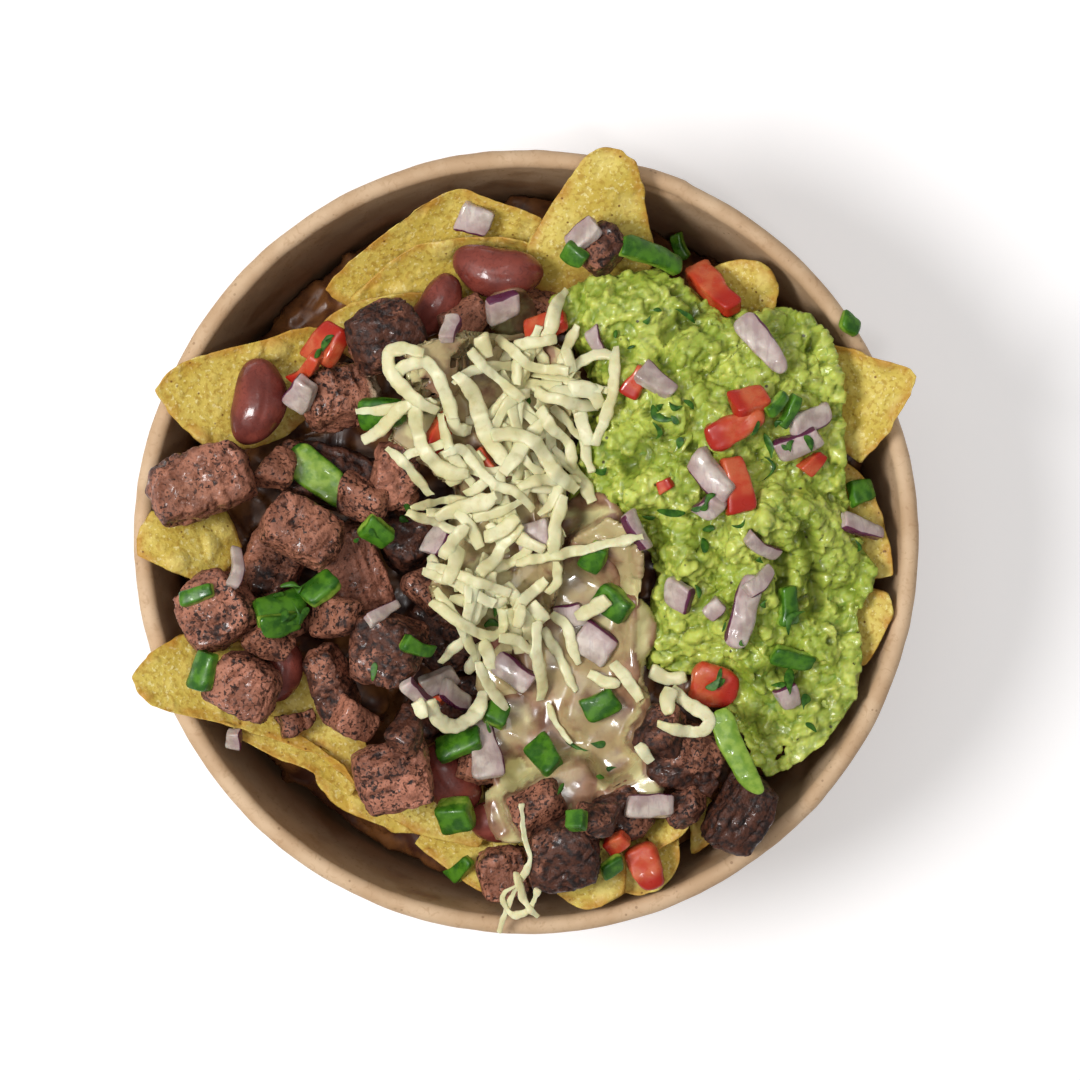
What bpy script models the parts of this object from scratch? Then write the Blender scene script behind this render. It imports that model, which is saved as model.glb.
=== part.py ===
"""Nachos in a round kraft paper bowl.

The bowl is a thin paper shell with a rolled rim and a recessed floor on a folded skirt.  In it lies a
bed of chips and sauce, and on that whole tortilla chips, steak dice, beans, guacamole, melted and
shredded cheese, tomato, onion and jalapeno.  The pieces are laid down in order, each one dropped until
it rests on what is under it, and the bed is made last, to fill the bowl up to them.

Sizes in the tables are millimetres, and the scene is in metres.  +Z is up, and the origin is the
centre of the bowl's foot.
"""

import math
import random

import bmesh
import bpy
import numpy as np
from mathutils import Euler, Matrix, Vector, noise

MM = 0.001

# The bowl.
RIM_RADIUS = 75.0
FOOT_RADIUS = 64.0
BOWL_HEIGHT = 60.0
WALL = 0.6
RIM_TUBE = 3.5
SKIRT_WIDTH = 1.8
FLOOR_UNDERSIDE = 4.2
FLOOR_THICKNESS = 0.8
BOWL_SEGMENTS = 48
RIM_STEPS = 8
LIP_ANGLE = -60.0

# The inside of the wall is a cone between these two circles.
MOUTH_RADIUS = RIM_RADIUS - RIM_TUBE
MOUTH_Z = BOWL_HEIGHT - RIM_TUBE / 2
FLOOR_Z = FLOOR_UNDERSIDE + FLOOR_THICKNESS
WALL_SLOPE = (MOUTH_RADIUS + WALL - FOOT_RADIUS) / MOUTH_Z

# The gap that touching pieces keep, and how far a piece may roll aside for a lower rest.
GAP = 0.3
ROLL_REACH = 5
ROLL_COST = 1.2

# Plan places are laid out at the height of the rim, as they line up under an eye above the bowl.
EYE_Z = 710.0

# The grid that heights are compared on.
CELL = 0.5
CELLS = 316
EMPTY = 1.0e6

# The bed: level in the middle, level at the wall, and the hollows left beside the wall.
BED_MIDDLE = 52.0
BED_EDGE = 39.0
BED_HOLLOW = 8.0
HOLLOW_AZIMUTHS = (133.0, 236.0, 318.0, 62.0)
HOLLOW_WIDTH = 16.0
BED_FALL = (44.0, 68.0)
BED_SPOKES = 44
BED_RINGS = 11
BED_WALL_GAP = 0.5

# Chips: thickness, and the longest stretch of rim between two corners.
CHIP_THICKNESS = 1.7
CHIP_STEP = 9.5

# Steak dice: how square they are, how far and how quickly their sides bow, and how far they lean.
STEAK_SQUARENESS = 4.5
STEAK_BOW = 0.15
STEAK_BOW_RATE = 0.9
STEAK_SKEW = 0.12

# Beans: how far they bend, the dent inside the bend and how narrow it is, how much fatter one end
# is, and their height for their width.
BEAN_BEND = 0.24
BEAN_DENT = 0.12
BEAN_DENT_FALL = 8
BEAN_FAT = 0.06
BEAN_HEIGHT = 0.92

# Cut toppings: corners round their outline, how square it is (1 is an oval), and how much smaller
# their two flat sides are.
TOPPING_CORNERS = 12
TOPPING_SQUARENESS = 0.55
TOPPING_SIDE = 0.86

# Soft layers: the least depth over what they cover, how fast their domes fall off, the size of their
# lumps, the points their edge is read at, and how far past a cell they look for what they cover.
LEAST_DEPTH = 1.2
DOME = 2.4
LUMP_SIZE = 8.0
EDGE_POINTS = 400
CELL_MARGIN = 0.6

# Edges sharper than this, in degrees, are shaded as edges.
SHARP_ANGLE = 35

COLOURS = {
    "kraft": ((0.50, 0.32, 0.19), 0.75),
    "bed": ((0.20, 0.10, 0.04), 0.7),
    "chip": ((0.62, 0.38, 0.07), 0.75),
    "steak": ((0.20, 0.09, 0.06), 0.6),
    "bean": ((0.22, 0.06, 0.04), 0.35),
    "guacamole": ((0.32, 0.42, 0.08), 0.45),
    "cheese": ((0.66, 0.64, 0.42), 0.5),
    "melted_cheese": ((0.50, 0.42, 0.24), 0.3),
    "tomato": ((0.50, 0.06, 0.04), 0.35),
    "onion": ((0.58, 0.47, 0.52), 0.4),
    "jalapeno": ((0.07, 0.25, 0.02), 0.35),
}

# Chips: each is a list of points (x, y, z) round the edge of its middle surface, and how far its
# middle bulges up.  They are laid from the lowest to the highest.
CHIPS = {
    "chip_lower_left_5": (-1.0, [
        (-21.5, -57.5, 46), (-16.3, -61.5, 48), (-9.6, -66.6, 49.5), (-4.0, -68.0, 50.5),
        (1, -63, 50), (2, -54, 47), (-12, -50, 44)]),
    "chip_lower_left_4": (-0.5, [
        (-40.7, -43.6, 48), (-38.4, -47.5, 47.5), (-36.0, -51.0, 47), (-30.0, -52.8, 47),
        (-24.1, -55.6, 46), (-18, -55, 45), (-18, -46, 43), (-30, -39, 45)]),
    "chip_lower_left_2": (0.5, [
        (-34.0, -47.6, 49.5), (-26.4, -52.0, 49), (-21.1, -55.2, 48.5), (-15.3, -57.0, 48),
        (-9, -58, 47.5), (-7, -47, 45), (-20, -40, 46), (-29, -42, 47)]),
    "chip_lower_left_3": (-0.6, [
        (-56.0, -36.4, 54.5), (-50.2, -39.6, 53), (-46.8, -41.2, 52.5), (-41.5, -43.0, 52),
        (-37.6, -45.2, 51), (-33.3, -48.4, 50.5), (-29, -42, 48), (-38, -33, 48.5), (-54, -31, 51.5)]),
    "chip_lower_left_1": (-1.5, [
        (-75.0, -25.8, 62.6), (-72.6, -22.2, 62.3), (-68.9, -19.7, 60.5), (-64.5, -16.7, 57.8),
        (-51, -20, 53.5), (-38, -27, 51.5), (-30, -38, 51), (-31.5, -47.3, 52.5),
        (-35.0, -41.9, 54.8), (-43.4, -39.2, 56), (-54.4, -35.4, 57.8), (-66.2, -32.7, 61.5),
        (-72.4, -31.0, 62.6)]),
    "chip_top_left_1": (-2.0, [
        (-38.4, 48.0, 51), (-35.9, 51.2, 52.5), (-29.8, 56.3, 55), (-24.1, 60.7, 57),
        (-16.7, 66.4, 58.5), (-11.9, 67.6, 58.5), (-6.8, 64.9, 56.5), (3, 61.5, 54.5),
        (2, 50, 47), (-14, 44, 45), (-30, 43, 47)]),
    "chip_top_left_2": (-1.5, [
        (-33.5, 46.0, 52.5), (-27.9, 51.9, 55), (-21.1, 57.0, 57.2), (-13.6, 57.3, 57.2),
        (-6.8, 58.2, 57.2), (0, 57.7, 56.5), (3, 50, 50.5), (-12, 42, 48), (-28, 40, 49.5)]),
    "chip_top_left_3": (-0.8, [
        (-39.2, 41.4, 54), (-36.7, 43.9, 55), (-32.5, 45.8, 56), (-24.1, 47.6, 56.8),
        (-19.0, 47.6, 56.8), (-14, 41, 52), (-24, 34, 50.5), (-35, 35, 51.5)]),
    "chip_left_1": (-1.2, [
        (-69.0, 32.2, 63), (-70.6, 28.8, 63), (-66.5, 22.6, 61), (-60.0, 16.9, 58.5),
        (-46, 20, 53), (-36, 30, 52), (-38.2, 40.8, 56.2), (-48, 38.8, 59.5), (-60, 36.0, 62.2)]),
    "chip_left_2": (1.5, [
        (-71.6, 5.9, 61.9), (-74.0, 2.0, 62.4), (-74.0, -2.6, 62.5), (-68, -5.6, 61.8),
        (-60.5, -8.6, 58), (-54, -1, 53.5), (-57, 6, 54.5), (-65, 7, 59)]),
    "chip_top": (1.2, [
        (15.2, 75.0, 67), (11.4, 73.6, 66), (7.5, 68.1, 62.5), (4.5, 63.8, 60),
        (1.6, 59.0, 58), (-1.2, 53.5, 55.5), (4, 46, 51), (20, 46, 51), (24.4, 54.5, 55),
        (23.5, 59.8, 58), (22.4, 65.5, 61.5), (21.1, 71.0, 64.8), (18.8, 74.2, 66.6)]),
    "chip_right_top": (0.8, [
        (31.0, 50.2, 53), (36.1, 52.6, 56), (41, 54.0, 58), (45.5, 53.4, 59), (48.0, 50, 59),
        (47.8, 45, 57), (43, 37, 51), (32, 38, 49)]),
    "chip_right_4": (0.5, [
        (68.6, -9.6, 56.5), (69.6, -13.2, 57), (67.8, -17.4, 55.5), (64.3, -23.3, 53),
        (55, -23, 48), (54, -11, 48), (61, -8, 52)]),
    "chip_right_3": (0.8, [
        (60.5, 15.4, 54.5), (64.5, 12.7, 55.5), (66.8, 7.9, 56), (68.3, 2.4, 56.6),
        (69.5, -1.5, 57.5), (69.8, -6.4, 58.2), (66.0, -7.6, 56.8), (57, -4, 50.5), (53, 8, 50.5)]),
    "chip_right_1": (-1.8, [
        (56.0, 37.8, 57), (65.9, 34.9, 63), (72.7, 33.3, 65), (74.2, 31.4, 65.2),
        (72.7, 27, 64.8), (66.8, 18.6, 62), (63.6, 15.2, 59.5), (60.5, 16.9, 57),
        (52, 24, 53), (50, 33, 53)]),
    "chip_bottom_4": (0.0, [
        (30.8, -53.0, 49), (31.4, -59.4, 50), (35.6, -57.6, 50.5), (37.5, -53.5, 49), (34, -48, 46)]),
    "chip_bottom_2": (-0.6, [
        (17.5, -66.2, 54.5), (22, -67.0, 55.5), (26.6, -65.2, 56.2), (29.3, -61, 56.2),
        (28.8, -55, 54.5), (24, -48, 49.5), (15, -52, 49)]),
    "chip_bottom_1": (0.6, [
        (1.5, -62.0, 51), (5.5, -66.5, 53.5), (10.2, -69.5, 56), (13.0, -69.4, 56.4),
        (18.6, -66.4, 55.6), (19.2, -60, 53.6), (17, -54, 50), (4, -54, 47.5)]),
    "chip_bottom_3": (0.8, [
        (24.6, -58.6, 57.5), (29, -55.6, 58.5), (34.0, -49.8, 58.5), (31, -49.5, 57),
        (26, -51, 54), (21.5, -55, 54)]),
}

# Steak dice: centre (x, y), size along its own axes, turn about Z, tilt about its own X and Y, and
# how far it may sink into the bed.  Low ones come first.
STEAKS = {
    "steak_10": ((-15.4, -18.6), (15.5, 12, 12), -40, (6, -4), 7),
    "steak_11": ((-21.8, 1.4), (13, 13, 13), 20, (-8, 5), 6),
    "steak_2": ((-40.4, 15.4), (20.5, 11.5, 12), -14, (-6, -3), 6),
    "steak_9": ((-38.8, -28.2), (17, 7.5, 11), -68, (12, 8), 6),
    "steak_3": ((-49.0, -4.2), (16.5, 11, 12), 65, (0, 10), 6),
    "steak_13": ((-2.6, -37.2), (10.5, 9.5, 9.5), 12, (5, 8), 5),
    "steak_14": ((-4.2, -62.0), (10.5, 10.5, 9.5), 10, (8, 0), 4),
    "steak_16": ((18.6, -52.2), (10.5, 10.5, 9.5), 30, (0, 8), 4),
    "steak_23": ((11.0, -47.4), (8, 7.5, 8.5), 8, (0, 0), 3),
    "steak_21": ((38.4, -52.0), (15, 10.5, 12), 62, (14, -6), 5),
    "steak_19": ((15.2, 54.2), (9.5, 8.5, 9.5), 40, (0, 0), 4),
    "steak_5": ((-24.8, 12.6), (13, 9.5, 10.5), 82, (8, -6), 5),
    "steak_17": ((-35.0, 28.2), (14, 12, 12), 12, (-6, 8), 5),
    "steak_7": ((-53.2, -27.2), (13.5, 11.5, 10.5), -25, (4, -8), 5),
    "steak_12": ((-25.2, -44.2), (15, 14, 13), 15, (0, 6), 4),
    "steak_6": ((-58.2, -15.4), (14.5, 13.5, 12), 32, (-6, -5), 5),
    "steak_4": ((-31.6, -5.8), (18.5, 11.5, 12), -66, (-10, 8), 4),
    "steak_8": ((-29.0, -23.0), (14, 14, 13), -12, (6, -5), 5),
    "steak_3b": ((-42.2, 2.0), (14.5, 11.5, 11.5), -28, (-12, 6), 4),
    "steak_1": ((-61.2, 11.0), (20.5, 13, 13), 20, (-5, 4), 4),
    "steak_18": ((-26.6, 38.6), (14.5, 13, 12), 25, (6, 9), 4),
    "steak_15": ((8.0, -58.2), (13.5, 13.5, 13), 8, (10, -5), 4),
    "steak_20": ((32.6, -42.8), (15, 13, 13), -20, (5, 9), 4),
}

# Beans: centre, length, width, turn about Z, tilt, sink.
BEANS = {
    "bean_4": ((-46.8, -24.2), 12.6, 8.0, 88, 0, 5),
    "bean_3": ((-17.4, 44.6), 13.5, 8.6, 52, -8, 4),
    "bean_5": ((-14.8, -45.4), 14.0, 9.6, -50, 6, 4),
    "bean_6": ((-6.2, -52.4), 12.0, 9.4, 20, 0, 4),
    "bean_1": ((-51.2, 26.4), 16.2, 10.8, 80, 5, 3),
    "bean_2": ((-5.6, 51.8), 17.7, 10.4, -12, -4, 3),
}

GUACAMOLE_CENTRE = (38.0, 8.0)
GUACAMOLE_EDGE = [
    (5.2, 46.5), (14, 49.6), (25.5, 52.0), (31, 46.5), (41, 42.6), (51.6, 44.6), (56.2, 40),
    (58.9, 33), (59.8, 22), (60.5, 10.5), (62, 1.5), (67.0, -5.5), (62.6, -14.6), (64.0, -21.5),
    (62.2, -31), (55, -39.8), (46, -45.2), (42, -38.8), (38.5, -31.2), (32.9, -25.1),
    (23.4, -24.4), (22.2, -17), (25.4, -8.1), (22, 0.5), (14.6, 6.4), (8.4, 7.8), (9.8, 17.4),
    (12.9, 30.8), (8.0, 41)]
CHEESE_CENTRE = (-4.0, 14.0)
CHEESE_EDGE = [
    (-24, 35.5), (-17.4, 38.6), (-8.9, 39.8), (3.5, 39.2), (9.6, 35.5), (10.8, 27), (7.8, 17),
    (6.4, 6.4), (8.3, -3.5), (6.4, -11.2), (3.5, -18.8), (-5, -19.8), (-14.6, -14.6),
    (-18.6, -7), (-16, 2.5), (-15, 9.5), (-20, 14), (-27.4, 20), (-22.5, 27)]
MELTED_CENTRE = (9.0, -24.0)
MELTED_EDGE = [
    (20, 3.5), (22.0, -6), (20.0, -18), (21.5, -25), (23.6, -32), (23.8, -38), (20.4, -44.6),
    (13, -46.5), (4, -46.5), (0, -44), (1.5, -38), (0, -32), (-8, -30.5), (-9, -24), (0, -14),
    (6, -6), (11, 3)]

# Soft layers: centre, edge, spokes, rings, height of the middle and of the edge, fall in height for
# each mm towards -Y, and how lumpy the top is.
SPREADS = {
    "guacamole": (GUACAMOLE_CENTRE, GUACAMOLE_EDGE, 44, 8, 69.0, 60.0, 0.08, 5.0),
    "melted_cheese": (MELTED_CENTRE, MELTED_EDGE, 28, 5, 58.0, 55.0, 0.0, 1.5),
    "cheese_heap": (CHEESE_CENTRE, CHEESE_EDGE, 30, 6, 70.0, 61.0, 0.0, 4.0),
}

# Toppings as large as berries: material, centre, length, width, thickness, turn, tilt, curve of the
# long axis and how much narrower the far end is.
TOPPINGS = {
    "tomato_1": ("tomato", (39.0, 21.2), 13.0, 5.6, 3.6, 24, 6, 0.010, 0.35),
    "tomato_2": ("tomato", (36.6, -27.0), 10.0, 9.0, 3.2, -12, 10, 0.0, 0.15),
    "tomato_3": ("tomato", (22.2, -60.6), 10.0, 6.8, 4.0, -68, 8, 0.006, 0.2),
    "onion_1": ("onion", (40.8, -13.2), 15.5, 5.4, 3.0, 76, 4, 0.004, 0.05),
    "onion_2": ("onion", (44.2, 37.0), 14.5, 5.0, 2.2, -52, 6, -0.006, 0.3),
    "jalapeno_1": ("jalapeno", (-37.6, 10.4), 18.0, 7.2, 1.8, -38, -4, 0.006, 0.2),
    "jalapeno_2": ("jalapeno", (39.6, -39.6), 19.0, 5.0, 1.8, -64, 0, 0.012, 0.2),
}


def clear_scene():
    for obj in list(bpy.data.objects):
        bpy.data.objects.remove(obj, do_unlink=True)


def make_materials():
    made = {}
    for name, (colour, roughness) in COLOURS.items():
        material = bpy.data.materials.new(name)
        material.use_nodes = True
        shader = material.node_tree.nodes["Principled BSDF"]
        shader.inputs["Base Color"].default_value = (*colour, 1.0)
        shader.inputs["Roughness"].default_value = roughness
        shader.inputs["Metallic"].default_value = 0.0
        made[name] = material
    return made


def object_of(name, bm, material, place, turn=(0.0, 0.0, 0.0)):
    """A finished mesh, in millimetres about its own centre, as an object at its place in metres."""
    bmesh.ops.recalc_face_normals(bm, faces=bm.faces)
    bmesh.ops.triangulate(bm, faces=bm.faces)
    bmesh.ops.scale(bm, vec=Vector((MM, MM, MM)), verts=bm.verts)
    mesh = bpy.data.meshes.new(name)
    bm.to_mesh(mesh)
    bm.free()
    mesh.materials.append(material)
    mesh.shade_smooth()
    mesh.set_sharp_from_angle(angle=math.radians(SHARP_ANGLE))
    obj = bpy.data.objects.new(name, mesh)
    obj.location = Vector(place) * MM
    obj.rotation_euler = turn
    bpy.context.scene.collection.objects.link(obj)
    return obj


def loft(start, rings, end):
    """A closed skin over a pile of equal rings, with a point at each end."""
    bm = bmesh.new()
    first = bm.verts.new(start)
    loops = [[bm.verts.new(point) for point in ring] for ring in rings]
    last = bm.verts.new(end)
    count = len(loops[0])
    for i in range(count):
        j = (i + 1) % count
        bm.faces.new((first, loops[0][i], loops[0][j]))
        bm.faces.new((last, loops[-1][j], loops[-1][i]))
        for upper, lower in zip(loops, loops[1:]):
            bm.faces.new((upper[i], lower[i], lower[j], upper[j]))
    return bm


def smooth_ring(points, steps):
    """Evenly spaced points on the closed curve through the given ones, anticlockwise from above."""
    knots = np.array(points, float)
    area = np.cross(knots[:, :2], np.roll(knots, -1, axis=0)[:, :2]).sum()
    if area < 0:
        knots = knots[::-1]
    before, after, beyond = (np.roll(knots, shift, axis=0) for shift in (1, -1, -2))
    fine = []
    for t in np.arange(0, 1, 0.1):
        pull = (-t + 2 * t**2 - t**3) / 2
        fine.append(
            before * pull
            + knots * (2 - 5 * t**2 + 3 * t**3) / 2
            + after * (t + 4 * t**2 - 3 * t**3) / 2
            + beyond * (t**3 - t**2) / 2
        )
    dense = np.stack(fine, axis=1).reshape(-1, knots.shape[1])
    closed = np.vstack([dense, dense[:1]])
    run = np.concatenate([[0], np.cumsum(np.linalg.norm(np.diff(closed, axis=0), axis=1))])
    stops = np.linspace(0, run[-1], steps, endpoint=False)
    return np.stack([np.interp(stops, run, closed[:, k]) for k in range(closed.shape[1])], axis=1)


def outline(points, longest):
    """The given corners, anticlockwise from above, with more on the smooth curve through them where
    two lie farther apart than longest."""
    knots = np.array(points, float)
    if np.cross(knots[:, :2], np.roll(knots, -1, axis=0)[:, :2]).sum() < 0:
        knots = knots[::-1]
    made = []
    for i, here in enumerate(knots):
        before, after, beyond = knots[i - 1], knots[(i + 1) % len(knots)], knots[(i + 2) % len(knots)]
        count = math.ceil(np.linalg.norm(after - here) / longest)
        for t in np.arange(count) / count:
            made.append(0.5 * (
                2 * here + (after - before) * t
                + (2 * before - 5 * here + 4 * after - beyond) * t**2
                + (3 * here - before - 3 * after + beyond) * t**3))
    return np.array(made)


def under_eye(x, y, z):
    """The point at height z that lines up with (x, y) at the height of the rim."""
    scale = (EYE_Z - z) / (EYE_Z - BOWL_HEIGHT)
    return x * scale, y * scale, z


def wall_radius(z):
    """The inside radius of the wall at height z."""
    return FOOT_RADIUS - WALL + WALL_SLOPE * z


# Heights over the plan.


def surface_of(obj, highest):
    """The upper or lower side of an object over the grid, in millimetres."""
    matrix = np.array(obj.matrix_basis)
    corners = np.array([vertex.co for vertex in obj.data.vertices])
    corners = (corners @ matrix[:3, :3].T + matrix[:3, 3]) / MM
    field = np.full((CELLS, CELLS), -EMPTY if highest else EMPTY)
    pick = np.maximum if highest else np.minimum
    for face in obj.data.polygons:
        a, b, c = corners[list(face.vertices)]
        flat = np.stack([a, b, c])[:, :2] / CELL + (CELLS - 1) / 2
        low = np.clip(np.ceil(flat.min(axis=0)).astype(int), 0, CELLS - 1)
        high = np.clip(np.floor(flat.max(axis=0)).astype(int), 0, CELLS - 1)
        (ax, ay), (bx, by), (cx, cy) = flat
        whole = (bx - ax) * (cy - ay) - (cx - ax) * (by - ay)
        if abs(whole) < 1e-9 or (high < low).any():
            continue
        columns, rows = np.mgrid[low[0] : high[0] + 1, low[1] : high[1] + 1]
        share_b = ((columns - ax) * (cy - ay) - (cx - ax) * (rows - ay)) / whole
        share_c = ((bx - ax) * (rows - ay) - (columns - ax) * (by - ay)) / whole
        inside = (share_b >= -1e-6) & (share_c >= -1e-6) & (share_b + share_c <= 1 + 1e-6)
        height = a[2] + share_b * (b[2] - a[2]) + share_c * (c[2] - a[2])
        part = field[low[0] : high[0] + 1, low[1] : high[1] + 1]
        part[inside] = pick(part[inside], height[inside])
    return field


def spread(field, reach, pick):
    """Each cell's highest or lowest value within reach cells."""
    out = field.copy()
    for axis in (0, 1):
        base = out.copy()
        for step in range(1, reach + 1):
            out = pick(out, np.roll(base, step, axis=axis))
            out = pick(out, np.roll(base, -step, axis=axis))
    return out


def bed_level(x, y):
    """The height of the bed before the pieces press into it."""
    azimuth = np.degrees(np.arctan2(y, x)) % 360
    edge = BED_EDGE
    for hollow in HOLLOW_AZIMUTHS:
        off = (azimuth - hollow + 180) % 360 - 180
        edge = edge - BED_HOLLOW * np.exp(-((off / HOLLOW_WIDTH) ** 2))
    t = np.clip((np.hypot(x, y) - BED_FALL[0]) / (BED_FALL[1] - BED_FALL[0]), 0, 1)
    return BED_MIDDLE + (edge - BED_MIDDLE) * t * t * (3 - 2 * t)


class Heap:
    """What lies in the bowl so far, as heights over the plan."""

    def __init__(self):
        along = (np.arange(CELLS) - (CELLS - 1) / 2) * CELL
        self.bed = bed_level(along[:, None], along[None, :])
        self.top = np.full((CELLS, CELLS), -EMPTY)
        self.under = np.full((CELLS, CELLS), EMPTY)

    def add(self, obj, presses=True):
        self.top = np.maximum(self.top, spread(surface_of(obj, True), 1, np.maximum))
        if presses:
            self.under = np.minimum(self.under, surface_of(obj, False))

    def lay(self, obj, sink=None):
        """Drops the object onto the heap.  Without a sink it is only lifted clear of the heap."""
        low = surface_of(obj, False)
        rows, columns = np.nonzero(low < EMPTY)
        heights = low[rows, columns]
        best = None
        reach = 0 if sink is None else ROLL_REACH
        for dx in range(-reach, reach + 1):
            for dy in range(-reach, reach + 1):
                needed = (self.top[rows + dx, columns + dy] - heights).max() + GAP
                if sink is None:
                    needed = max(needed, 0)
                else:
                    needed = max(needed, (self.bed[rows + dx, columns + dy] - sink - heights).max())
                cost = needed + ROLL_COST * math.hypot(dx, dy) * CELL
                if best is None or cost < best[0]:
                    best = (cost, dx * CELL, dy * CELL, needed)
        obj.location += Vector(best[1:]) * MM
        obj.matrix_basis = Matrix.LocRotScale(obj.location, obj.rotation_euler, None)
        self.add(obj)

    def floor_near(self, x, y, reach):
        """The highest point of the heap or the bed within reach of (x, y)."""
        both = np.maximum(self.top, self.bed)
        i, j = (round(v / CELL + (CELLS - 1) / 2) for v in (x, y))
        n = math.ceil(reach / CELL)
        return both[max(i - n, 0) : i + n + 1, max(j - n, 0) : j + n + 1].max()

    def ceiling_near(self, x, y, reach):
        """The lowest underside within reach of (x, y)."""
        i, j = (round(v / CELL + (CELLS - 1) / 2) for v in (x, y))
        n = math.ceil(reach / CELL)
        return self.under[max(i - n, 0) : i + n + 1, max(j - n, 0) : j + n + 1].min()


# The pieces.


def make_bowl(material):
    """One turned shell: outer wall, rolled rim, inner wall, floor, underside and folded skirt."""
    tube = RIM_TUBE / 2
    centre = (RIM_RADIUS - tube, BOWL_HEIGHT - tube)
    skirt_inside = FOOT_RADIUS - SKIRT_WIDTH
    profile = [(FOOT_RADIUS, 0.0)]
    lip_angle = math.radians(LIP_ANGLE)
    for step in range(RIM_STEPS + 1):
        angle = lip_angle + (math.pi - lip_angle) * step / RIM_STEPS
        profile.append((centre[0] + tube * math.cos(angle), centre[1] + tube * math.sin(angle)))
    neck = (wall_radius(profile[1][1]) + WALL, profile[1][1] + 0.4)
    profile.insert(1, neck)
    profile += [
        (wall_radius(FLOOR_Z), FLOOR_Z),
        (0.0, FLOOR_Z),
        (0.0, FLOOR_UNDERSIDE),
        (skirt_inside, FLOOR_UNDERSIDE),
        (skirt_inside, 0.0),
    ]
    bm = bmesh.new()
    ring = [bm.verts.new((radius, 0.0, z)) for radius, z in profile]
    edges = [bm.edges.new((a, b)) for a, b in zip(ring, ring[1:] + ring[:1])]
    bmesh.ops.spin(
        bm, geom=ring + edges, cent=(0, 0, 0), axis=(0, 0, 1),
        angle=2 * math.pi, steps=BOWL_SEGMENTS, use_merge=True,
    )
    bmesh.ops.remove_doubles(bm, verts=bm.verts, dist=0.001)
    inner = [edge for edge in bm.edges if all(v.co.xy.length < 0.01 for v in edge.verts)]
    bmesh.ops.delete(bm, geom=inner, context="EDGES")
    return object_of("bowl", bm, material, (0, 0, 0))


def make_chip(name, bulge, edge, material):
    """A thin plate: a dished skin of rings inside its edge, with the same skin one thickness below."""
    ring = outline([under_eye(*point) for point in edge], CHIP_STEP)
    centre = ring.mean(axis=0)
    ring = ring - centre
    lift = Vector((0, 0, CHIP_THICKNESS / 2))
    shares = (0.5, 1.0)
    upper = [[Vector(p * f) + Vector((0, 0, bulge * (1 - f * f))) + lift for p in ring] for f in shares]
    lower = [[p - 2 * lift for p in loop] for loop in reversed(upper)]
    middle = Vector((0, 0, bulge))
    bm = loft(middle + lift, upper + lower, middle - lift)
    return object_of(name, bm, material, centre)


def make_steak(name, centre, size, turn, tilt, material):
    """A hand-cut cube of meat: corners rounded, sides bowed and slightly askew."""
    dice = random.Random(name)
    shift = Vector([dice.uniform(-9, 9) for _ in range(3)])
    skew = [dice.uniform(-STEAK_SKEW, STEAK_SKEW) for _ in range(3)]
    bm = bmesh.new()
    bmesh.ops.create_cube(bm, size=2)
    bmesh.ops.subdivide_edges(bm, edges=bm.edges[:], cuts=2, use_grid_fill=True)
    for vertex in bm.verts:
        p = vertex.co.copy()
        p *= sum(abs(v) ** STEAK_SQUARENESS for v in p) ** (-1 / STEAK_SQUARENESS)
        p *= 1 + STEAK_BOW * noise.noise(p * STEAK_BOW_RATE + shift)
        p = Vector((p.x * (1 + skew[0] * p.y), p.y * (1 + skew[1] * p.z), p.z * (1 + skew[2] * p.x)))
        vertex.co = Vector((p.x * size[0], p.y * size[1], p.z * size[2])) / 2
    angles = Euler([math.radians(v) for v in (*tilt, turn)])
    return object_of(name, bm, material, under_eye(*centre, BOWL_HEIGHT), angles)


def make_bean(name, centre, length, width, turn, tilt, material):
    """A kidney bean: an egg shape bent about its middle, with a dent on the inside of the bend."""
    bm = bmesh.new()
    bmesh.ops.create_uvsphere(bm, u_segments=12, v_segments=8, radius=1)
    bmesh.ops.rotate(bm, cent=(0, 0, 0), matrix=Matrix.Rotation(math.pi / 2, 3, "Y"), verts=bm.verts)
    for vertex in bm.verts:
        x, y, z = vertex.co
        fat = 1 + BEAN_FAT * x
        bend = BEAN_BEND * (0.45 - x * x)
        dent = BEAN_DENT * max(y, 0) * math.exp(-BEAN_DENT_FALL * x * x)
        y = y * fat - dent - bend
        vertex.co = Vector((x * length, y * width, z * fat * width * BEAN_HEIGHT)) / 2
    angles = Euler((0, math.radians(tilt), math.radians(turn)))
    return object_of(name, bm, material, under_eye(*centre, BOWL_HEIGHT), angles)


def make_topping(name, centre, length, width, thickness, turn, tilt, curve, taper, material):
    """A cut slice: a rounded, curved, tapered outline with soft edges above and below."""
    middle = []
    for step in range(TOPPING_CORNERS):
        angle = 2 * math.pi * (step + 0.5) / TOPPING_CORNERS
        u, v = (math.copysign(abs(w) ** TOPPING_SQUARENESS, w) for w in (math.cos(angle), math.sin(angle)))
        x = u * length / 2
        middle.append(Vector((x, v * width / 2 * (1 - taper * u) + curve * (x * x - length**2 / 8), 0)))
    up = Vector((0, 0, thickness / 2))
    side = [point * TOPPING_SIDE for point in middle]
    rings = [[p + up for p in side], middle, [p - up for p in side]]
    bm = loft(up, rings, -up)
    angles = Euler((math.radians(tilt), 0, math.radians(turn)))
    return object_of(name, bm, material, under_eye(*centre, BOWL_HEIGHT), angles)


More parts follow.
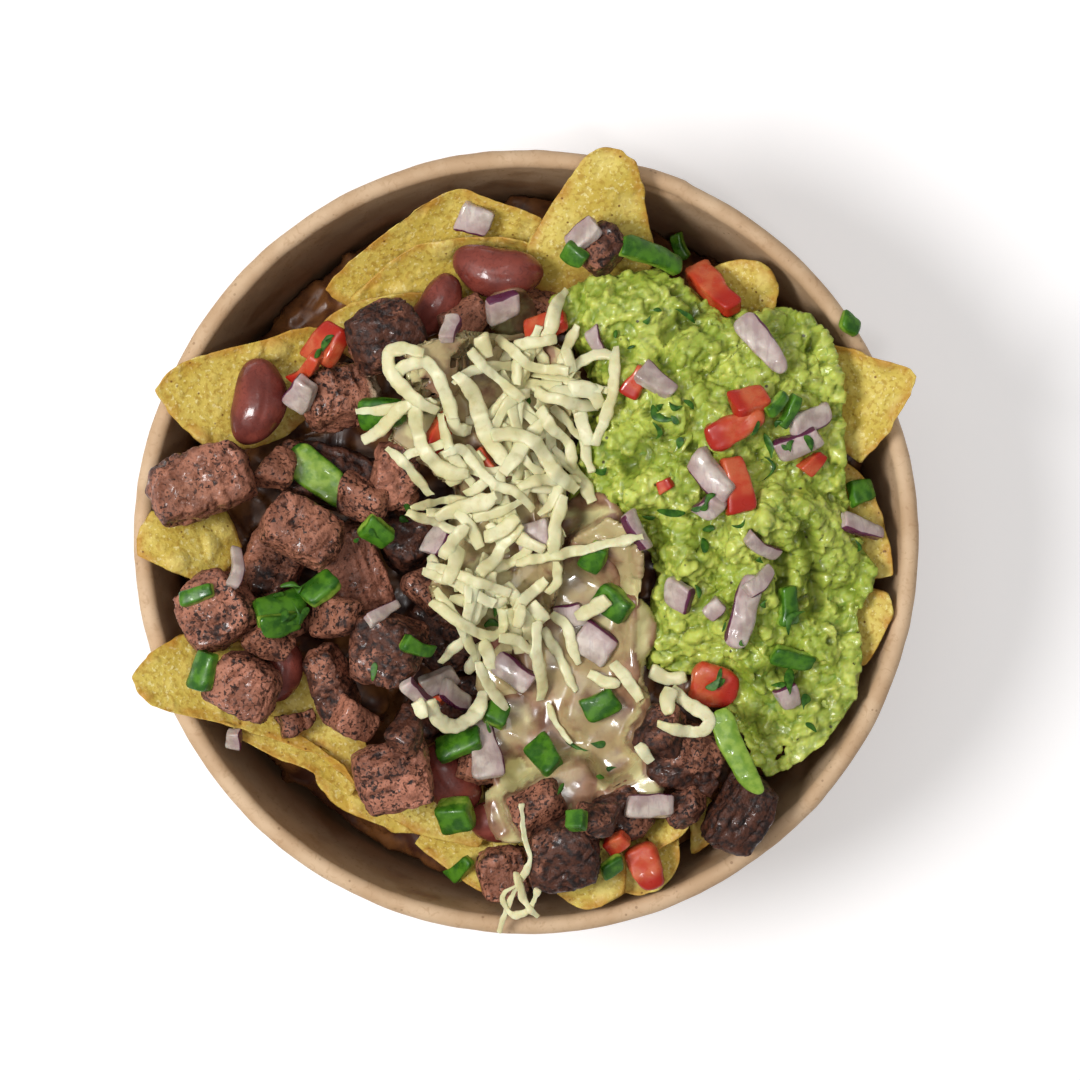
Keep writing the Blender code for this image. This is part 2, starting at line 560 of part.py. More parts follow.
def make_spread(name, heap, centre, edge, spokes, rings, crown, shoulder, fall, lumps, material):
    """A soft layer laid over the heap.  Its underside follows what it covers.  Its top is a lumpy
    dome, from crown in the middle to shoulder at its edge, dropping by fall for each mm towards -Y."""
    centre = np.array(centre, float)
    dense = smooth_ring(edge, EDGE_POINTS) - centre
    azimuths = np.arctan2(dense[:, 1], dense[:, 0])
    order = np.argsort(azimuths)
    radii = np.hypot(dense[:, 0], dense[:, 1])[order]
    azimuths = azimuths[order]

    def levels(share, azimuth):
        radius = share * np.interp(azimuth, azimuths, radii, period=2 * math.pi)
        x, y = centre + radius * np.array([math.cos(azimuth), math.sin(azimuth)])
        # A cell reaches as far as its longer side.
        reach = max(radii.mean() / rings, 2 * math.pi * radius / spokes) + CELL_MARGIN
        floor = heap.floor_near(x, y, reach) + GAP
        top = shoulder + (crown - shoulder) * (1 - share**DOME) + fall * (y - centre[1])
        top += lumps * noise.noise(Vector((x, y, 0)) / LUMP_SIZE)
        return x, y, floor, max(top, floor + LEAST_DEPTH)

    turns = [2 * math.pi * i / spokes - math.pi for i in range(spokes)]
    top, bottom = [], []
    for ring in range(1, rings + 1):
        made = [levels(ring / rings, azimuth) for azimuth in turns]
        top.append([(x, y, z) for x, y, _, z in made])
        bottom.append([(x, y, z) for x, y, z, _ in made])
    x, y, low, high = levels(0.0, 0.0)
    bm = loft((x, y, high), top + bottom[::-1], (x, y, low))
    return object_of(name, bm, material, (0, 0, 0))


def make_bed(heap, material):
    """Broken chips and sauce, from the bowl's floor up to the undersides of the pieces."""
    turns = [2 * math.pi * i / BED_SPOKES for i in range(BED_SPOKES)]
    outer = wall_radius(BED_EDGE - BED_HOLLOW) - BED_WALL_GAP
    side = 2 * math.pi * outer / BED_SPOKES

    def level(x, y, reach):
        return min(bed_level(x, y), heap.ceiling_near(x, y, reach) - GAP)

    rings = []
    for k in range(1, BED_RINGS + 1):
        share = k / BED_RINGS
        ring = []
        for azimuth in turns:
            direction = np.array([math.cos(azimuth), math.sin(azimuth)])
            x, y = direction * outer * share
            z = level(x, y, max(side * share, outer / BED_RINGS))
            if k == BED_RINGS:
                x, y = direction * (wall_radius(z) - BED_WALL_GAP)
            ring.append((x, y, z))
        rings.append(ring)
    foot_z = FLOOR_Z + GAP
    foot_radius = wall_radius(foot_z) - BED_WALL_GAP
    rings.append([(foot_radius * math.cos(a), foot_radius * math.sin(a), foot_z) for a in turns])
    bm = loft((0, 0, level(0, 0, outer / BED_RINGS)), rings, (0, 0, foot_z))
    return object_of("bed", bm, material, (0, 0, 0))


def main():
    clear_scene()
    materials = make_materials()
    heap = Heap()
    heap.add(make_bowl(materials["kraft"]), presses=False)
    for name, (bulge, edge) in CHIPS.items():
        heap.lay(make_chip(name, bulge, edge, materials["chip"]))
    for name in ("guacamole", "melted_cheese"):
        heap.add(make_spread(name, heap, *SPREADS[name], materials[name]))
    for name, (centre, length, width, turn, tilt, sink) in BEANS.items():
        heap.lay(make_bean(name, centre, length, width, turn, tilt, materials["bean"]), sink)
    for name, (centre, size, turn, tilt, sink) in STEAKS.items():
        heap.lay(make_steak(name, centre, size, turn, tilt, materials["steak"]), sink)
    heap.add(make_spread("cheese_heap", heap, *SPREADS["cheese_heap"], materials["cheese"]))
    for name, (kind, centre, *shape) in TOPPINGS.items():
        heap.lay(make_topping(name, centre, *shape, materials[kind]), 0)
    make_bed(heap, materials["bed"])


main()
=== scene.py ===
"""Looks of the bowl of nachos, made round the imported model.

Each piece of food starts from a merged copy of its own solid, made finer and then worked: chips get
blisters and ragged edges, steak its grain and char, guacamole its lumps and folds.  Cheese shreds,
melted cheese and the small toppings are laid on top of these, on a map of heights.

Tables and all work on points are in millimetres; Blender's own data is in metres.
"""

import itertools
import math

import bmesh
import bpy
import numpy as np
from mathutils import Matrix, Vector


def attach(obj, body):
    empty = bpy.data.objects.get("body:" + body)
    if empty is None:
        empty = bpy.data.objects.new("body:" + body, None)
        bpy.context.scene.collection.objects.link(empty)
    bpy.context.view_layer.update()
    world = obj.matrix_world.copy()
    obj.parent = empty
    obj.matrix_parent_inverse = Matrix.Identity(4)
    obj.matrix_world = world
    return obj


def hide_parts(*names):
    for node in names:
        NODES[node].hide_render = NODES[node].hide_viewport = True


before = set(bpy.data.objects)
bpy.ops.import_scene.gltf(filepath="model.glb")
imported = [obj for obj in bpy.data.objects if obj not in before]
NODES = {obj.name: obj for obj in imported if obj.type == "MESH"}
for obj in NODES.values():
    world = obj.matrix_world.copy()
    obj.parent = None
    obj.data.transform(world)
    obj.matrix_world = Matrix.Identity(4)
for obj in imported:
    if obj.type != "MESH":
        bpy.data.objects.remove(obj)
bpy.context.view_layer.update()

MM = 0.001

# The bowl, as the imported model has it.
RIM_RADIUS = 75.0
FOOT_RADIUS = 64.0
BOWL_HEIGHT = 60.0
WALL = 0.6
RIM_TUBE = 3.5
SKIRT_WIDTH = 1.8
FLOOR_UNDERSIDE = 4.2
FLOOR_Z = 5.0
NECK_RADIUS = 71.9
NECK_Z = 57.2
SEAM_AZIMUTH = 66.0
BOWL_SEGMENTS = 288
WALL_RINGS = 25
RIM_RINGS = 17
FLOOR_RINGS = 14

# The eye that the plan places are laid out for.
EYE = (2.57, 0.29, 710.0)
LENS = 113.7
SENSOR = 36.0

# Points that the axes of a piece are read from.
AXES_SAMPLE = 2000

STEAK_VOXEL = 0.52
GUACAMOLE_VOXEL = 0.45
CHEESE_BED_VOXEL = 0.6
MELTED_VOXEL = 0.5
BED_VOXEL = 1.6

# The map of heights.
CELL = 0.4
HALF_MAP = 82.0
SIDE = int(2 * HALF_MAP / CELL) + 1


# Noise over points.


def hashed(cells, seed):
    """A number from 0 to 1 for each row of whole numbers."""
    h = cells[:, 0] * 374761393 + cells[:, 1] * 668265263 + cells[:, 2] * 1440662683 + seed * 974634777
    h = (h ^ (h >> 13)) * 1274126177
    return ((h ^ (h >> 16)) & 0xFFFFFF) / 0xFFFFFF


def rough(points, size, seed, octaves=1):
    """Smooth noise from -1 to 1 with swells of that size, each octave half as large and as strong."""
    total = np.zeros(len(points))
    strength = 1.0
    whole = 0.0
    for octave in range(octaves):
        turn = 0.7 * octave + 0.3
        c, s = math.cos(turn), math.sin(turn)
        turned = points @ np.array([[c, s, 0], [-s * c, c * c, s], [s * s, -s * c, c]]) / size
        low = np.floor(turned).astype(np.int64)
        t = turned - low
        t = t * t * (3 - 2 * t)
        for corner in itertools.product((0, 1), repeat=3):
            weight = np.prod(np.where(corner, t, 1 - t), axis=1)
            total += strength * weight * (2 * hashed(low + corner, seed + octave) - 1)
        whole += strength
        size /= 2
        strength /= 2
    return total / whole


def pebbles(points, size, seed):
    """For points scattered about a size apart: distance to the nearest, how much farther the next
    one is, both as shares of the size, and a number from 0 to 1 that is the nearest one's own."""
    p = points / size
    base = np.floor(p).astype(np.int64)
    first = np.full(len(p), 9.0)
    second = first.copy()
    own = np.zeros(len(p))
    for offset in itertools.product((-1, 0, 1), repeat=3):
        cell = base + offset
        spot = cell + np.stack([hashed(cell, seed + k) for k in range(3)], axis=1)
        distance = np.linalg.norm(p - spot, axis=1)
        closer = distance < first
        second = np.where(closer, first, np.minimum(second, distance))
        own = np.where(closer, hashed(cell, seed + 3), own)
        first = np.where(closer, distance, first)
    return first, second - first, own


def ease(low, high, values):
    """0 below low, 1 above high, smooth between."""
    t = np.clip((values - low) / (high - low), 0, 1)
    return t * t * (3 - 2 * t)


def axes_of(points):
    """The centre of the points, their long, middle and short directions as columns, and half sizes."""
    centre = (points.min(axis=0) + points.max(axis=0)) / 2
    sample = points[:: max(len(points) // AXES_SAMPLE, 1)]
    _, _, rows = np.linalg.svd(sample - points.mean(axis=0), full_matrices=False)
    local = (points - centre) @ rows.T
    middle = (local.min(axis=0) + local.max(axis=0)) / 2
    centre = centre + middle @ rows
    return centre, rows.T, np.abs(local - middle).max(axis=0)


# Meshes.


def merged(node):
    """A copy of a node's mesh with its loose triangles joined."""
    bm = bmesh.new()
    bm.from_mesh(NODES[node].data)
    bmesh.ops.remove_doubles(bm, verts=bm.verts, dist=1e-5)
    return bm


def worked(bm, *modifiers):
    """The mesh that these modifiers, each (type, settings), make of bm."""
    mesh = bpy.data.meshes.new("blank")
    bm.to_mesh(mesh)
    bm.free()
    blank = bpy.data.objects.new("blank", mesh)
    bpy.context.scene.collection.objects.link(blank)
    for kind, settings in modifiers:
        modifier = blank.modifiers.new(kind, kind)
        for key, value in settings.items():
            setattr(modifier, key, value)
    done = bpy.data.meshes.new_from_object(blank.evaluated_get(bpy.context.evaluated_depsgraph_get()))
    bpy.data.objects.remove(blank)
    bpy.data.meshes.remove(mesh)
    return done


def voxels(size):
    return ("REMESH", {"mode": "VOXEL", "voxel_size": size * MM, "use_smooth_shade": True})


def smoothed(levels):
    return ("SUBSURF", {"levels": levels, "render_levels": levels})


def points_of(mesh):
    """Vertices in millimetres, and their normals."""
    flat = np.empty(len(mesh.vertices) * 3, np.float32)
    mesh.vertices.foreach_get("co", flat)
    normals = np.empty(len(mesh.vertices) * 3, np.float32)
    mesh.vertex_normals.foreach_get("vector", normals)
    return flat.reshape(-1, 3).astype(float) / MM, normals.reshape(-1, 3).astype(float)


def move_points(mesh, points):
    mesh.vertices.foreach_set("co", (points * MM).astype(np.float32).ravel())
    mesh.update()


def store(mesh, name, values):
    attribute = mesh.attributes.new(name, "FLOAT", "POINT")
    attribute.data.foreach_set("value", np.asarray(values, np.float32))


def piece(name, mesh, material, slot, *replaced):
    """Puts a finished mesh in the scene as one piece that rides on the bowl."""
    mesh.name = name
    mesh.materials.clear()
    mesh.materials.append(material)
    mesh.shade_smooth()
    obj = bpy.data.objects.new(name, mesh)
    bpy.context.scene.collection.objects.link(obj)
    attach(obj, "root")
    if replaced:
        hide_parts(*replaced)
    return obj


class Pile:
    """Many small bodies gathered into one mesh."""

    def __init__(self):
        self.points = []
        self.faces = []
        self.marks = {}
        self.count = 0

    def add(self, points, faces, **marks):
        self.points.append(points)
        self.faces += [tuple(i + self.count for i in face) for face in faces]
        for name, values in marks.items():
            self.marks.setdefault(name, []).append(np.broadcast_to(values, len(points)))
        self.count += len(points)

    def mesh(self):
        mesh = bpy.data.meshes.new("pile")
        mesh.from_pydata((np.vstack(self.points) * MM).tolist(), [], self.faces)
        for name, values in self.marks.items():
            store(mesh, name, np.concatenate(values))
        mesh.update()
        return mesh


# The map of heights.


class Ground:
    """The height of whatever lies on top, over the plan."""

    def __init__(self):
        self.z = np.zeros((SIDE, SIDE))

    def cells(self, points):
        spots = np.rint((points[:, :2] + HALF_MAP) / CELL).astype(int)
        spots = np.clip(spots, 0, SIDE - 1)
        return spots[:, 0], spots[:, 1]

    def add(self, points, reach=1):
        field = np.full((SIDE, SIDE), -1e3)
        np.maximum.at(field, self.cells(points), points[:, 2])
        for axis in (0, 1):
            base = field.copy()
            for step in range(1, reach + 1):
                for shift in (-step, step):
                    field = np.maximum(field, np.roll(base, shift, axis=axis))
        self.z = np.maximum(self.z, field)

    def at(self, points):
        return self.z[self.cells(points)]


def under_eye(x, y, z):
    """Where a point at height z lines up with (x, y) at the height of the rim."""
    share = (EYE[2] - z) / (EYE[2] - BOWL_HEIGHT)
    return EYE[0] + (x - EYE[0]) * share, EYE[1] + (y - EYE[1]) * share


# Materials.


class Value:
    """A socket in a shader tree; arithmetic on it adds Math nodes."""

    def __init__(self, finish, socket):
        self.finish = finish
        self.socket = socket

    def _math(self, operation, first, second):
        return self.finish.node("ShaderNodeMath", {"operation": operation}, {0: first, 1: second})

    def __add__(self, other):
        return self._math("ADD", self, other)

    def __sub__(self, other):
        return self._math("SUBTRACT", self, other)

    def __rsub__(self, other):
        return self._math("SUBTRACT", other, self)

    def __mul__(self, other):
        return self._math("MULTIPLY", self, other)

    def __pow__(self, other):
        return self._math("POWER", self, other)

    __radd__ = __add__
    __rmul__ = __mul__


class Finish:
    """One material, with short ways to the nodes that finishes here are made of."""

    def __init__(self, name, **constants):
        self.material = bpy.data.materials.new(name)
        self.material.use_nodes = True
        self.tree = self.material.node_tree
        self.shader = self.tree.nodes["Principled BSDF"]
        for key, value in constants.items():
            self.shader.inputs[key.replace("_", " ").title().replace("Ior", "IOR")].default_value = value
        self.place = self.node("ShaderNodeTexCoord", output="Object")

    def feed(self, socket, value):
        if isinstance(value, Value):
            self.tree.links.new(value.socket, socket)
        elif isinstance(value, tuple) and len(value) == 3 and len(socket.default_value) == 4:
            socket.default_value = (*value, 1.0)
        else:
            socket.default_value = value

    def node(self, kind, settings=(), sockets=(), output=0):
        made = self.tree.nodes.new(kind)
        for key, value in dict(settings).items():
            setattr(made, key, value)
        for key, value in dict(sockets).items():
            self.feed(made.inputs[key], value)
        return Value(self, made.outputs[output])

    def mark(self, name):
        """A number stored on the mesh."""
        return self.node("ShaderNodeAttribute", {"attribute_name": name}, output="Fac")

    def noise(self, size, detail=2.0, stretch=(1, 1, 1), twist=0.0):
        """Noise from 0 to 1, with features of that size in millimetres."""
        place = self.node("ShaderNodeMapping", {}, {"Vector": self.place, "Scale": stretch})
        return self.node("ShaderNodeTexNoise", {}, {
            "Vector": place, "Scale": 1 / (size * MM), "Detail": detail, "Distortion": twist})

    def grains(self, size, stretch=(1, 1, 1)):
        """Distance to the nearest of scattered points, in shares of the size."""
        place = self.node("ShaderNodeMapping", {}, {"Vector": self.place, "Scale": stretch})
        return self.node("ShaderNodeTexVoronoi", {}, {"Vector": place, "Scale": 1 / (size * MM)})

    def step(self, value, low, high, start=0.0, end=1.0):
        """Goes smoothly from start to end as the value goes from low to high."""
        return self.node("ShaderNodeMapRange", {"interpolation_type": "SMOOTHSTEP"}, {
            "Value": value, "From Min": low, "From Max": high, "To Min": start, "To Max": end})

    def mix(self, factor, first, second):
        made = self.tree.nodes.new("ShaderNodeMix")
        made.data_type = "RGBA"
        for index, value in ((0, factor), (6, first), (7, second)):
            self.feed(made.inputs[index], value)
        return Value(self, made.outputs[2])

    def bump(self, height, strength, distance):
        made = self.node("ShaderNodeBump", {}, {
            "Height": height, "Strength": strength, "Distance": distance * MM})
        self.feed(self.shader.inputs["Normal"], made)

    def set(self, **sockets):
        for key, value in sockets.items():
            self.feed(self.shader.inputs[key.replace("_", " ").title()], value)
        return self.material


def srgb(red, green, blue):
    """A colour as it is seen, each from 0 to 255, turned to the light that makes it."""
    shares = [v / 255 for v in (red, green, blue)]
    return tuple(v / 12.92 if v <= 0.04045 else ((v + 0.055) / 1.055) ** 2.4 for v in shares)


def kraft_finish():
    f = Finish("kraft_paper", specular_ior_level=0.35)
    cloud = f.noise(9, 4)
    fibre = f.noise(1.6, 3, (1, 1, 0.35), 1.5)
    colour = f.mix(f.step(cloud, 0.35, 0.65), srgb(196, 162, 126), srgb(212, 181, 146))
    colour = f.mix(f.step(fibre, 0.52, 0.75, 0, 0.5), colour, srgb(176, 138, 100))
    specks = f.step(f.grains(2.2), 0.10, 0.16, 0.55, 0.0) * f.step(f.noise(6), 0.45, 0.6)
    colour = f.mix(specks, colour, srgb(128, 92, 60))
    grease = f.step(f.noise(16, 3), 0.56, 0.66) * f.mark("inside")
    colour = f.mix(grease * 0.55, colour, srgb(150, 104, 62))
    # Painted shade: the inside of the wall is coloured darker towards the floor, as if shaded by the food.
    colour = f.mix(f.mark("depth") * 0.75, colour, srgb(140, 98, 66))
    f.bump(fibre, 0.15, 0.2)
    return f.set(base_color=colour, roughness=f.step(grease, 0, 1, 0.62, 0.36))


def sauce_finish():
    f = Finish("chips_in_sauce", specular_ior_level=0.5)
    cloud = f.noise(5, 4)
    colour = f.mix(f.step(cloud, 0.35, 0.65), srgb(70, 38, 26), srgb(128, 82, 44))
    return f.set(base_color=colour, roughness=f.step(f.noise(3), 0.3, 0.7, 0.25, 0.5))


def chip_finish():
    f = Finish("tortilla_chip", specular_ior_level=0.35)
    cloud = f.noise(9, 3)
    fine = f.noise(0.9, 3)
    colour = f.mix(f.step(cloud, 0.3, 0.7), srgb(206, 178, 74), srgb(222, 200, 100))
    colour = f.mix(f.step(fine, 0.48, 0.66, 0, 0.7), colour, srgb(176, 138, 48))
    # Painted highlight: fine pale specks that stand for small glints on the chip.
    colour = f.mix(f.step(f.noise(0.8, 2, (1.1, 1, 1)), 0.58, 0.68, 0, 0.7), colour, srgb(240, 226, 158))
    colour = f.mix(f.mark("blister") * 0.35, colour, srgb(234, 216, 132))
    brown = f.mark("rim") * f.step(f.noise(4, 3), 0.35, 0.6, 0.1, 1.0)
    colour = f.mix(brown * 0.7, colour, srgb(186, 124, 40))
    specks = f.step(f.grains(1.9), 0.08, 0.17, 0.9, 0.0) * f.step(f.noise(4), 0.46, 0.58)
    colour = f.mix(specks, colour, srgb(118, 74, 28))
    colour = f.mix(f.mark("sauce"), colour, srgb(132, 72, 34))
    f.bump(fine + f.noise(2.2, 2) * 0.8, 0.55, 0.35)
    return f.set(base_color=colour, roughness=f.step(fine, 0.3, 0.7, 0.45, 0.66))


def steak_finish():
    f = Finish("seared_steak", specular_ior_level=0.32, coat_roughness=0.12)
    meat = f.mix(f.mark("pink"), srgb(150, 98, 74), srgb(184, 120, 96))
    meat = f.mix(f.step(f.mark("grain"), 0.35, 0.8, 0, 0.55), meat, srgb(98, 56, 40))
    fine = f.noise(0.7, 3, twist=0.6)
    meat = f.mix(f.step(fine, 0.50, 0.60) * 0.4, meat, srgb(88, 50, 36))
    # Painted shade: dark specks that stand for the shade inside tiny pits of the meat.
    painted_pit_shade = f.step(f.grains(1.3), 0.10, 0.24, 0.9, 0.0) * f.step(f.noise(2.6, 2), 0.42, 0.56)
    meat = f.mix(painted_pit_shade, meat, srgb(44, 26, 20))
    crust = f.mix(f.step(f.noise(1.4, 3), 0.38, 0.66), srgb(82, 46, 32), srgb(34, 20, 17))
    char = f.step(f.mark("char") + f.step(fine, 0.5, 0.6) * 0.2 + f.noise(1.9, 3) * 0.5, 0.64, 0.86)
    colour = f.mix(f.mark("fat"), f.mix(char, meat, crust), srgb(206, 182, 150))
    wet = f.step(f.noise(2.2, 3), 0.50, 0.66)
    f.bump(f.noise(0.6, 2) + f.noise(1.5, 2) * 1.2, 0.75, 0.4)
    return f.set(base_color=colour, roughness=f.step(wet, 0, 1, 0.58, 0.3), coat_weight=wet * 0.55)


def bean_finish():
    f = Finish("kidney_bean", specular_ior_level=0.35, coat_roughness=0.1)
    colour = f.mix(f.step(f.noise(5, 3), 0.3, 0.7), srgb(104, 46, 38), srgb(138, 66, 54))
    colour = f.mix(f.step(f.noise(1.4, 4, twist=2.0), 0.5, 0.68, 0, 0.45), colour, srgb(78, 32, 28))
    wet = f.step(f.noise(3.4, 3), 0.48, 0.62)
    f.bump(f.noise(0.9, 3, twist=1.0), 0.3, 0.2)
    return f.set(base_color=colour, roughness=f.step(wet, 0, 1, 0.46, 0.24), coat_weight=wet * 0.6)


def guacamole_finish():
    f = Finish("guacamole", specular_ior_level=0.5, coat_roughness=0.12,
               subsurface_weight=0.1, subsurface_scale=0.002)
    lump = f.mark("lump")
    # Painted light and shade: the lump mark makes the tops of lumps lighter and the hollows between them
    # darker.
    colour = f.mix(f.step(lump, 0.15, 0.85), srgb(116, 138, 34), srgb(198, 208, 92))
    colour = f.mix(f.step(f.noise(12, 3), 0.42, 0.62, 0, 0.7), colour, srgb(148, 168, 50))
    colour = f.mix(f.step(f.noise(2.0, 3), 0.55, 0.68, 0, 0.55), colour, srgb(212, 214, 112))
    # Painted shade: dark olive in the creases between chunks, in spoon grooves and in holes.
    colour = f.mix(f.mark("crease"), colour, srgb(78, 92, 24))
    green = f.step(f.noise(3.2, 3, twist=1.0), 0.64, 0.72, 0, 0.6)
    colour = f.mix(green, colour, srgb(96, 134, 42))
    # Painted shade: dark spots that stand for the shade inside small holes in the mash.
    painted_pit_shade = f.step(f.grains(4.4), 0.05, 0.10, 0.9, 0.0)
    colour = f.mix(painted_pit_shade, colour, srgb(52, 44, 26))
    wet = f.step(f.noise(2.0, 3), 0.4, 0.6)
    f.bump(f.noise(0.8, 3), 0.35, 0.3)
    return f.set(base_color=colour, roughness=f.step(wet, 0, 1, 0.55, 0.3), coat_weight=wet * 0.35)


def cheese_finish():
    f = Finish("shredded_cheese", specular_ior_level=0.45, subsurface_weight=0.15, subsurface_scale=0.002)
    colour = f.mix(f.step(f.noise(7, 3), 0.35, 0.65), srgb(214, 206, 154), srgb(228, 222, 182))
    colour = f.mix(f.step(f.noise(1.2, 3), 0.5, 0.75, 0, 0.4), colour, srgb(194, 184, 124))
    f.bump(f.noise(0.9, 3), 0.15, 0.2)
    return f.set(base_color=colour, roughness=f.step(f.noise(2.5, 2), 0.3, 0.7, 0.34, 0.5))


def melted_finish():
    f = Finish("melted_cheese", specular_ior_level=0.45, coat_roughness=0.07,
               subsurface_weight=0.1, subsurface_scale=0.002)
    thick = f.mark("thick") + f.noise(2.6, 3) * 0.4 - 0.2
    under = f.mix(f.step(f.noise(4.5, 3), 0.35, 0.65), srgb(112, 74, 54), srgb(160, 122, 94))
    film = f.mix(f.step(thick, 0.05, 0.4), under, srgb(182, 162, 116))
    colour = f.mix(f.step(thick, 0.35, 0.85), film, srgb(212, 202, 146))
    wet = f.step(f.noise(4.0, 2), 0.42, 0.62)
    f.bump(f.noise(1.8, 2), 0.1, 0.3)
    return f.set(base_color=colour, roughness=f.step(wet, 0, 1, 0.34, 0.15), coat_weight=wet * 0.7)


def tomato_finish():
    f = Finish("tomato", specular_ior_level=0.4, coat_roughness=0.1,
               subsurface_weight=0.1, subsurface_scale=0.002)
    colour = f.mix(f.step(f.noise(2.4, 3), 0.35, 0.65), srgb(190, 64, 34), srgb(200, 98, 60))
    colour = f.mix(f.step(f.mark("skin"), 0.55, 0.8), colour, srgb(172, 38, 22))
    wet = f.step(f.noise(2.0, 2), 0.48, 0.64)
    return f.set(base_color=colour, roughness=f.step(wet, 0, 1, 0.4, 0.22), coat_weight=wet * 0.6)


def onion_finish():
    f = Finish("red_onion", specular_ior_level=0.4, coat_roughness=0.1,
               subsurface_weight=0.15, subsurface_scale=0.002)
    colour = f.mix(f.step(f.noise(3.0, 3), 0.35, 0.65), srgb(168, 150, 138), srgb(202, 188, 176))
    vein = f.step(f.noise(0.8, 2, (1, 0.25, 1)), 0.52, 0.64, 0, 0.35)
    colour = f.mix(vein, colour, srgb(150, 124, 128))
    colour = f.mix(f.step(f.mark("skin"), 0.2, 0.95, 0, 0.35), colour, srgb(176, 136, 150))
    edge = f.step(f.mark("skin") + f.noise(2.0, 2) * 0.08, 0.94, 0.98)
    colour = f.mix(edge, colour, srgb(92, 36, 66))
    wet = f.step(f.noise(2.6, 2), 0.46, 0.62)
    return f.set(base_color=colour, roughness=f.step(wet, 0, 1, 0.4, 0.24), coat_weight=wet * 0.5)


def pepper_finish():
    f = Finish("jalapeno", specular_ior_level=0.4, coat_roughness=0.1)
    flesh = f.mix(f.step(f.noise(1.8, 3), 0.35, 0.65), srgb(104, 142, 36), srgb(142, 172, 64))
    skin = f.mix(f.step(f.noise(2.2, 3), 0.35, 0.65), srgb(40, 88, 16), srgb(78, 128, 28))
    colour = f.mix(f.step(f.mark("skin") + f.noise(1.6, 3) * 0.5, 0.72, 0.9), flesh, skin)
    wet = f.step(f.noise(2.0, 2), 0.48, 0.64)
    f.bump(f.noise(0.8, 2), 0.2, 0.2)
    return f.set(base_color=colour, roughness=f.step(wet, 0, 1, 0.42, 0.24), coat_weight=wet * 0.5)


def cilantro_finish():
    f = Finish("cilantro", specular_ior_level=0.35)
    colour = f.mix(f.step(f.noise(1.2, 2), 0.35, 0.65), srgb(32, 76, 14), srgb(66, 112, 28))
    return f.set(base_color=colour, roughness=f.step(f.noise(1.0), 0.3, 0.7, 0.4, 0.6))


# The bowl.


def make_bowl(ground):
    """A turned paper shell: wall, rolled rim, floor and folded skirt, with the lap of its side seam."""
    tube = RIM_TUBE / 2
    rim = (RIM_RADIUS - tube, BOWL_HEIGHT - tube)
    slope = (rim[0] - tube + WALL - FOOT_RADIUS) / rim[1]

    def inside(z):
        return FOOT_RADIUS - WALL + slope * z

    outline = [(FOOT_RADIUS + (NECK_RADIUS - FOOT_RADIUS) * s, NECK_Z * s)
               for s in np.linspace(0, 1, WALL_RINGS)]
    outline += [(rim[0] + tube * math.cos(a), rim[1] + tube * math.sin(a))
                for a in np.radians(np.linspace(-60, 180, RIM_RINGS))]
    first_inside = len(outline)
    outline += [(inside(z), z) for z in np.linspace(rim[1] - 0.5, FLOOR_Z + 1, WALL_RINGS)]
    outline += [(inside(FLOOR_Z) - 1, FLOOR_Z)]
    outline += [(r, FLOOR_Z) for r in np.linspace(56, 4, FLOOR_RINGS)]
    last_inside = len(outline) - 1
    skirt = FOOT_RADIUS - SKIRT_WIDTH
    outline += [(r, FLOOR_UNDERSIDE) for r in np.linspace(4, skirt - 0.4, FLOOR_RINGS)]
    outline += [(skirt, FLOOR_UNDERSIDE - 0.6), (skirt, 0.3), (skirt + 0.3, 0), (FOOT_RADIUS - 0.3, 0)]
    outline = np.array(outline)
    azimuths = np.linspace(0, 2 * math.pi, BOWL_SEGMENTS, endpoint=False)
    radius = np.repeat(outline[:, 0], BOWL_SEGMENTS)
    height = np.repeat(outline[:, 1], BOWL_SEGMENTS)
    azimuth = np.tile(azimuths, len(outline))
    flat = np.stack([radius * np.cos(azimuth), radius * np.sin(azimuth), height], axis=1)
    # Paper is never quite round: slow waves in the wall, finer ones in the roll of the rim.
    wave = 0.18 * rough(flat, 30, 1) + 0.10 * rough(flat, 9, 2)
    on_rim = ease(55, 57, height)
    wave += on_rim * 0.10 * rough(flat * (1, 1, 0.2), 3, 3)
    wave *= ease(0, 8, height) * (radius > 55)
    off = np.degrees(azimuth) - SEAM_AZIMUTH
    lap = (ease(-0.25, 0.25, off) - ease(5.0, 9.0, off)) * 0.35 * ease(1, 4, height) * (radius > 58)
    ring_of = np.repeat(np.arange(len(outline)), BOWL_SEGMENTS)
    radius = radius + wave + np.where(ring_of < first_inside, lap, -lap * 0.6)
    points = np.stack([radius * np.cos(azimuth), radius * np.sin(azimuth), height], axis=1)
    rings = len(outline)
    faces = []
    for ring in range(rings):
        a = ring * BOWL_SEGMENTS
        b = (ring + 1) % rings * BOWL_SEGMENTS
        if ring == last_inside:
            # The floor and its underside each close on their own middle.
            faces.append(tuple(range(a + BOWL_SEGMENTS - 1, a - 1, -1))[::-1])
            faces.append(tuple(range(b, b + BOWL_SEGMENTS))[::-1])
            continue
        for i in range(BOWL_SEGMENTS):
            j = (i + 1) % BOWL_SEGMENTS
            faces.append((a + i, a + j, b + j, b + i))
    mesh = bpy.data.meshes.new("bowl")
    mesh.from_pydata((points * MM).tolist(), [], faces)
    within = ease(first_inside, first_inside + 2, ring_of)
    store(mesh, "inside", within)
    # Painted shade: this mark darkens the inside wall towards the floor.
    store(mesh, "depth", within * ease(58, 30, height))
    ground.add(points, 2)
    return piece("paper_bowl", mesh, kraft_finish(), "kraft_paper", "bowl")


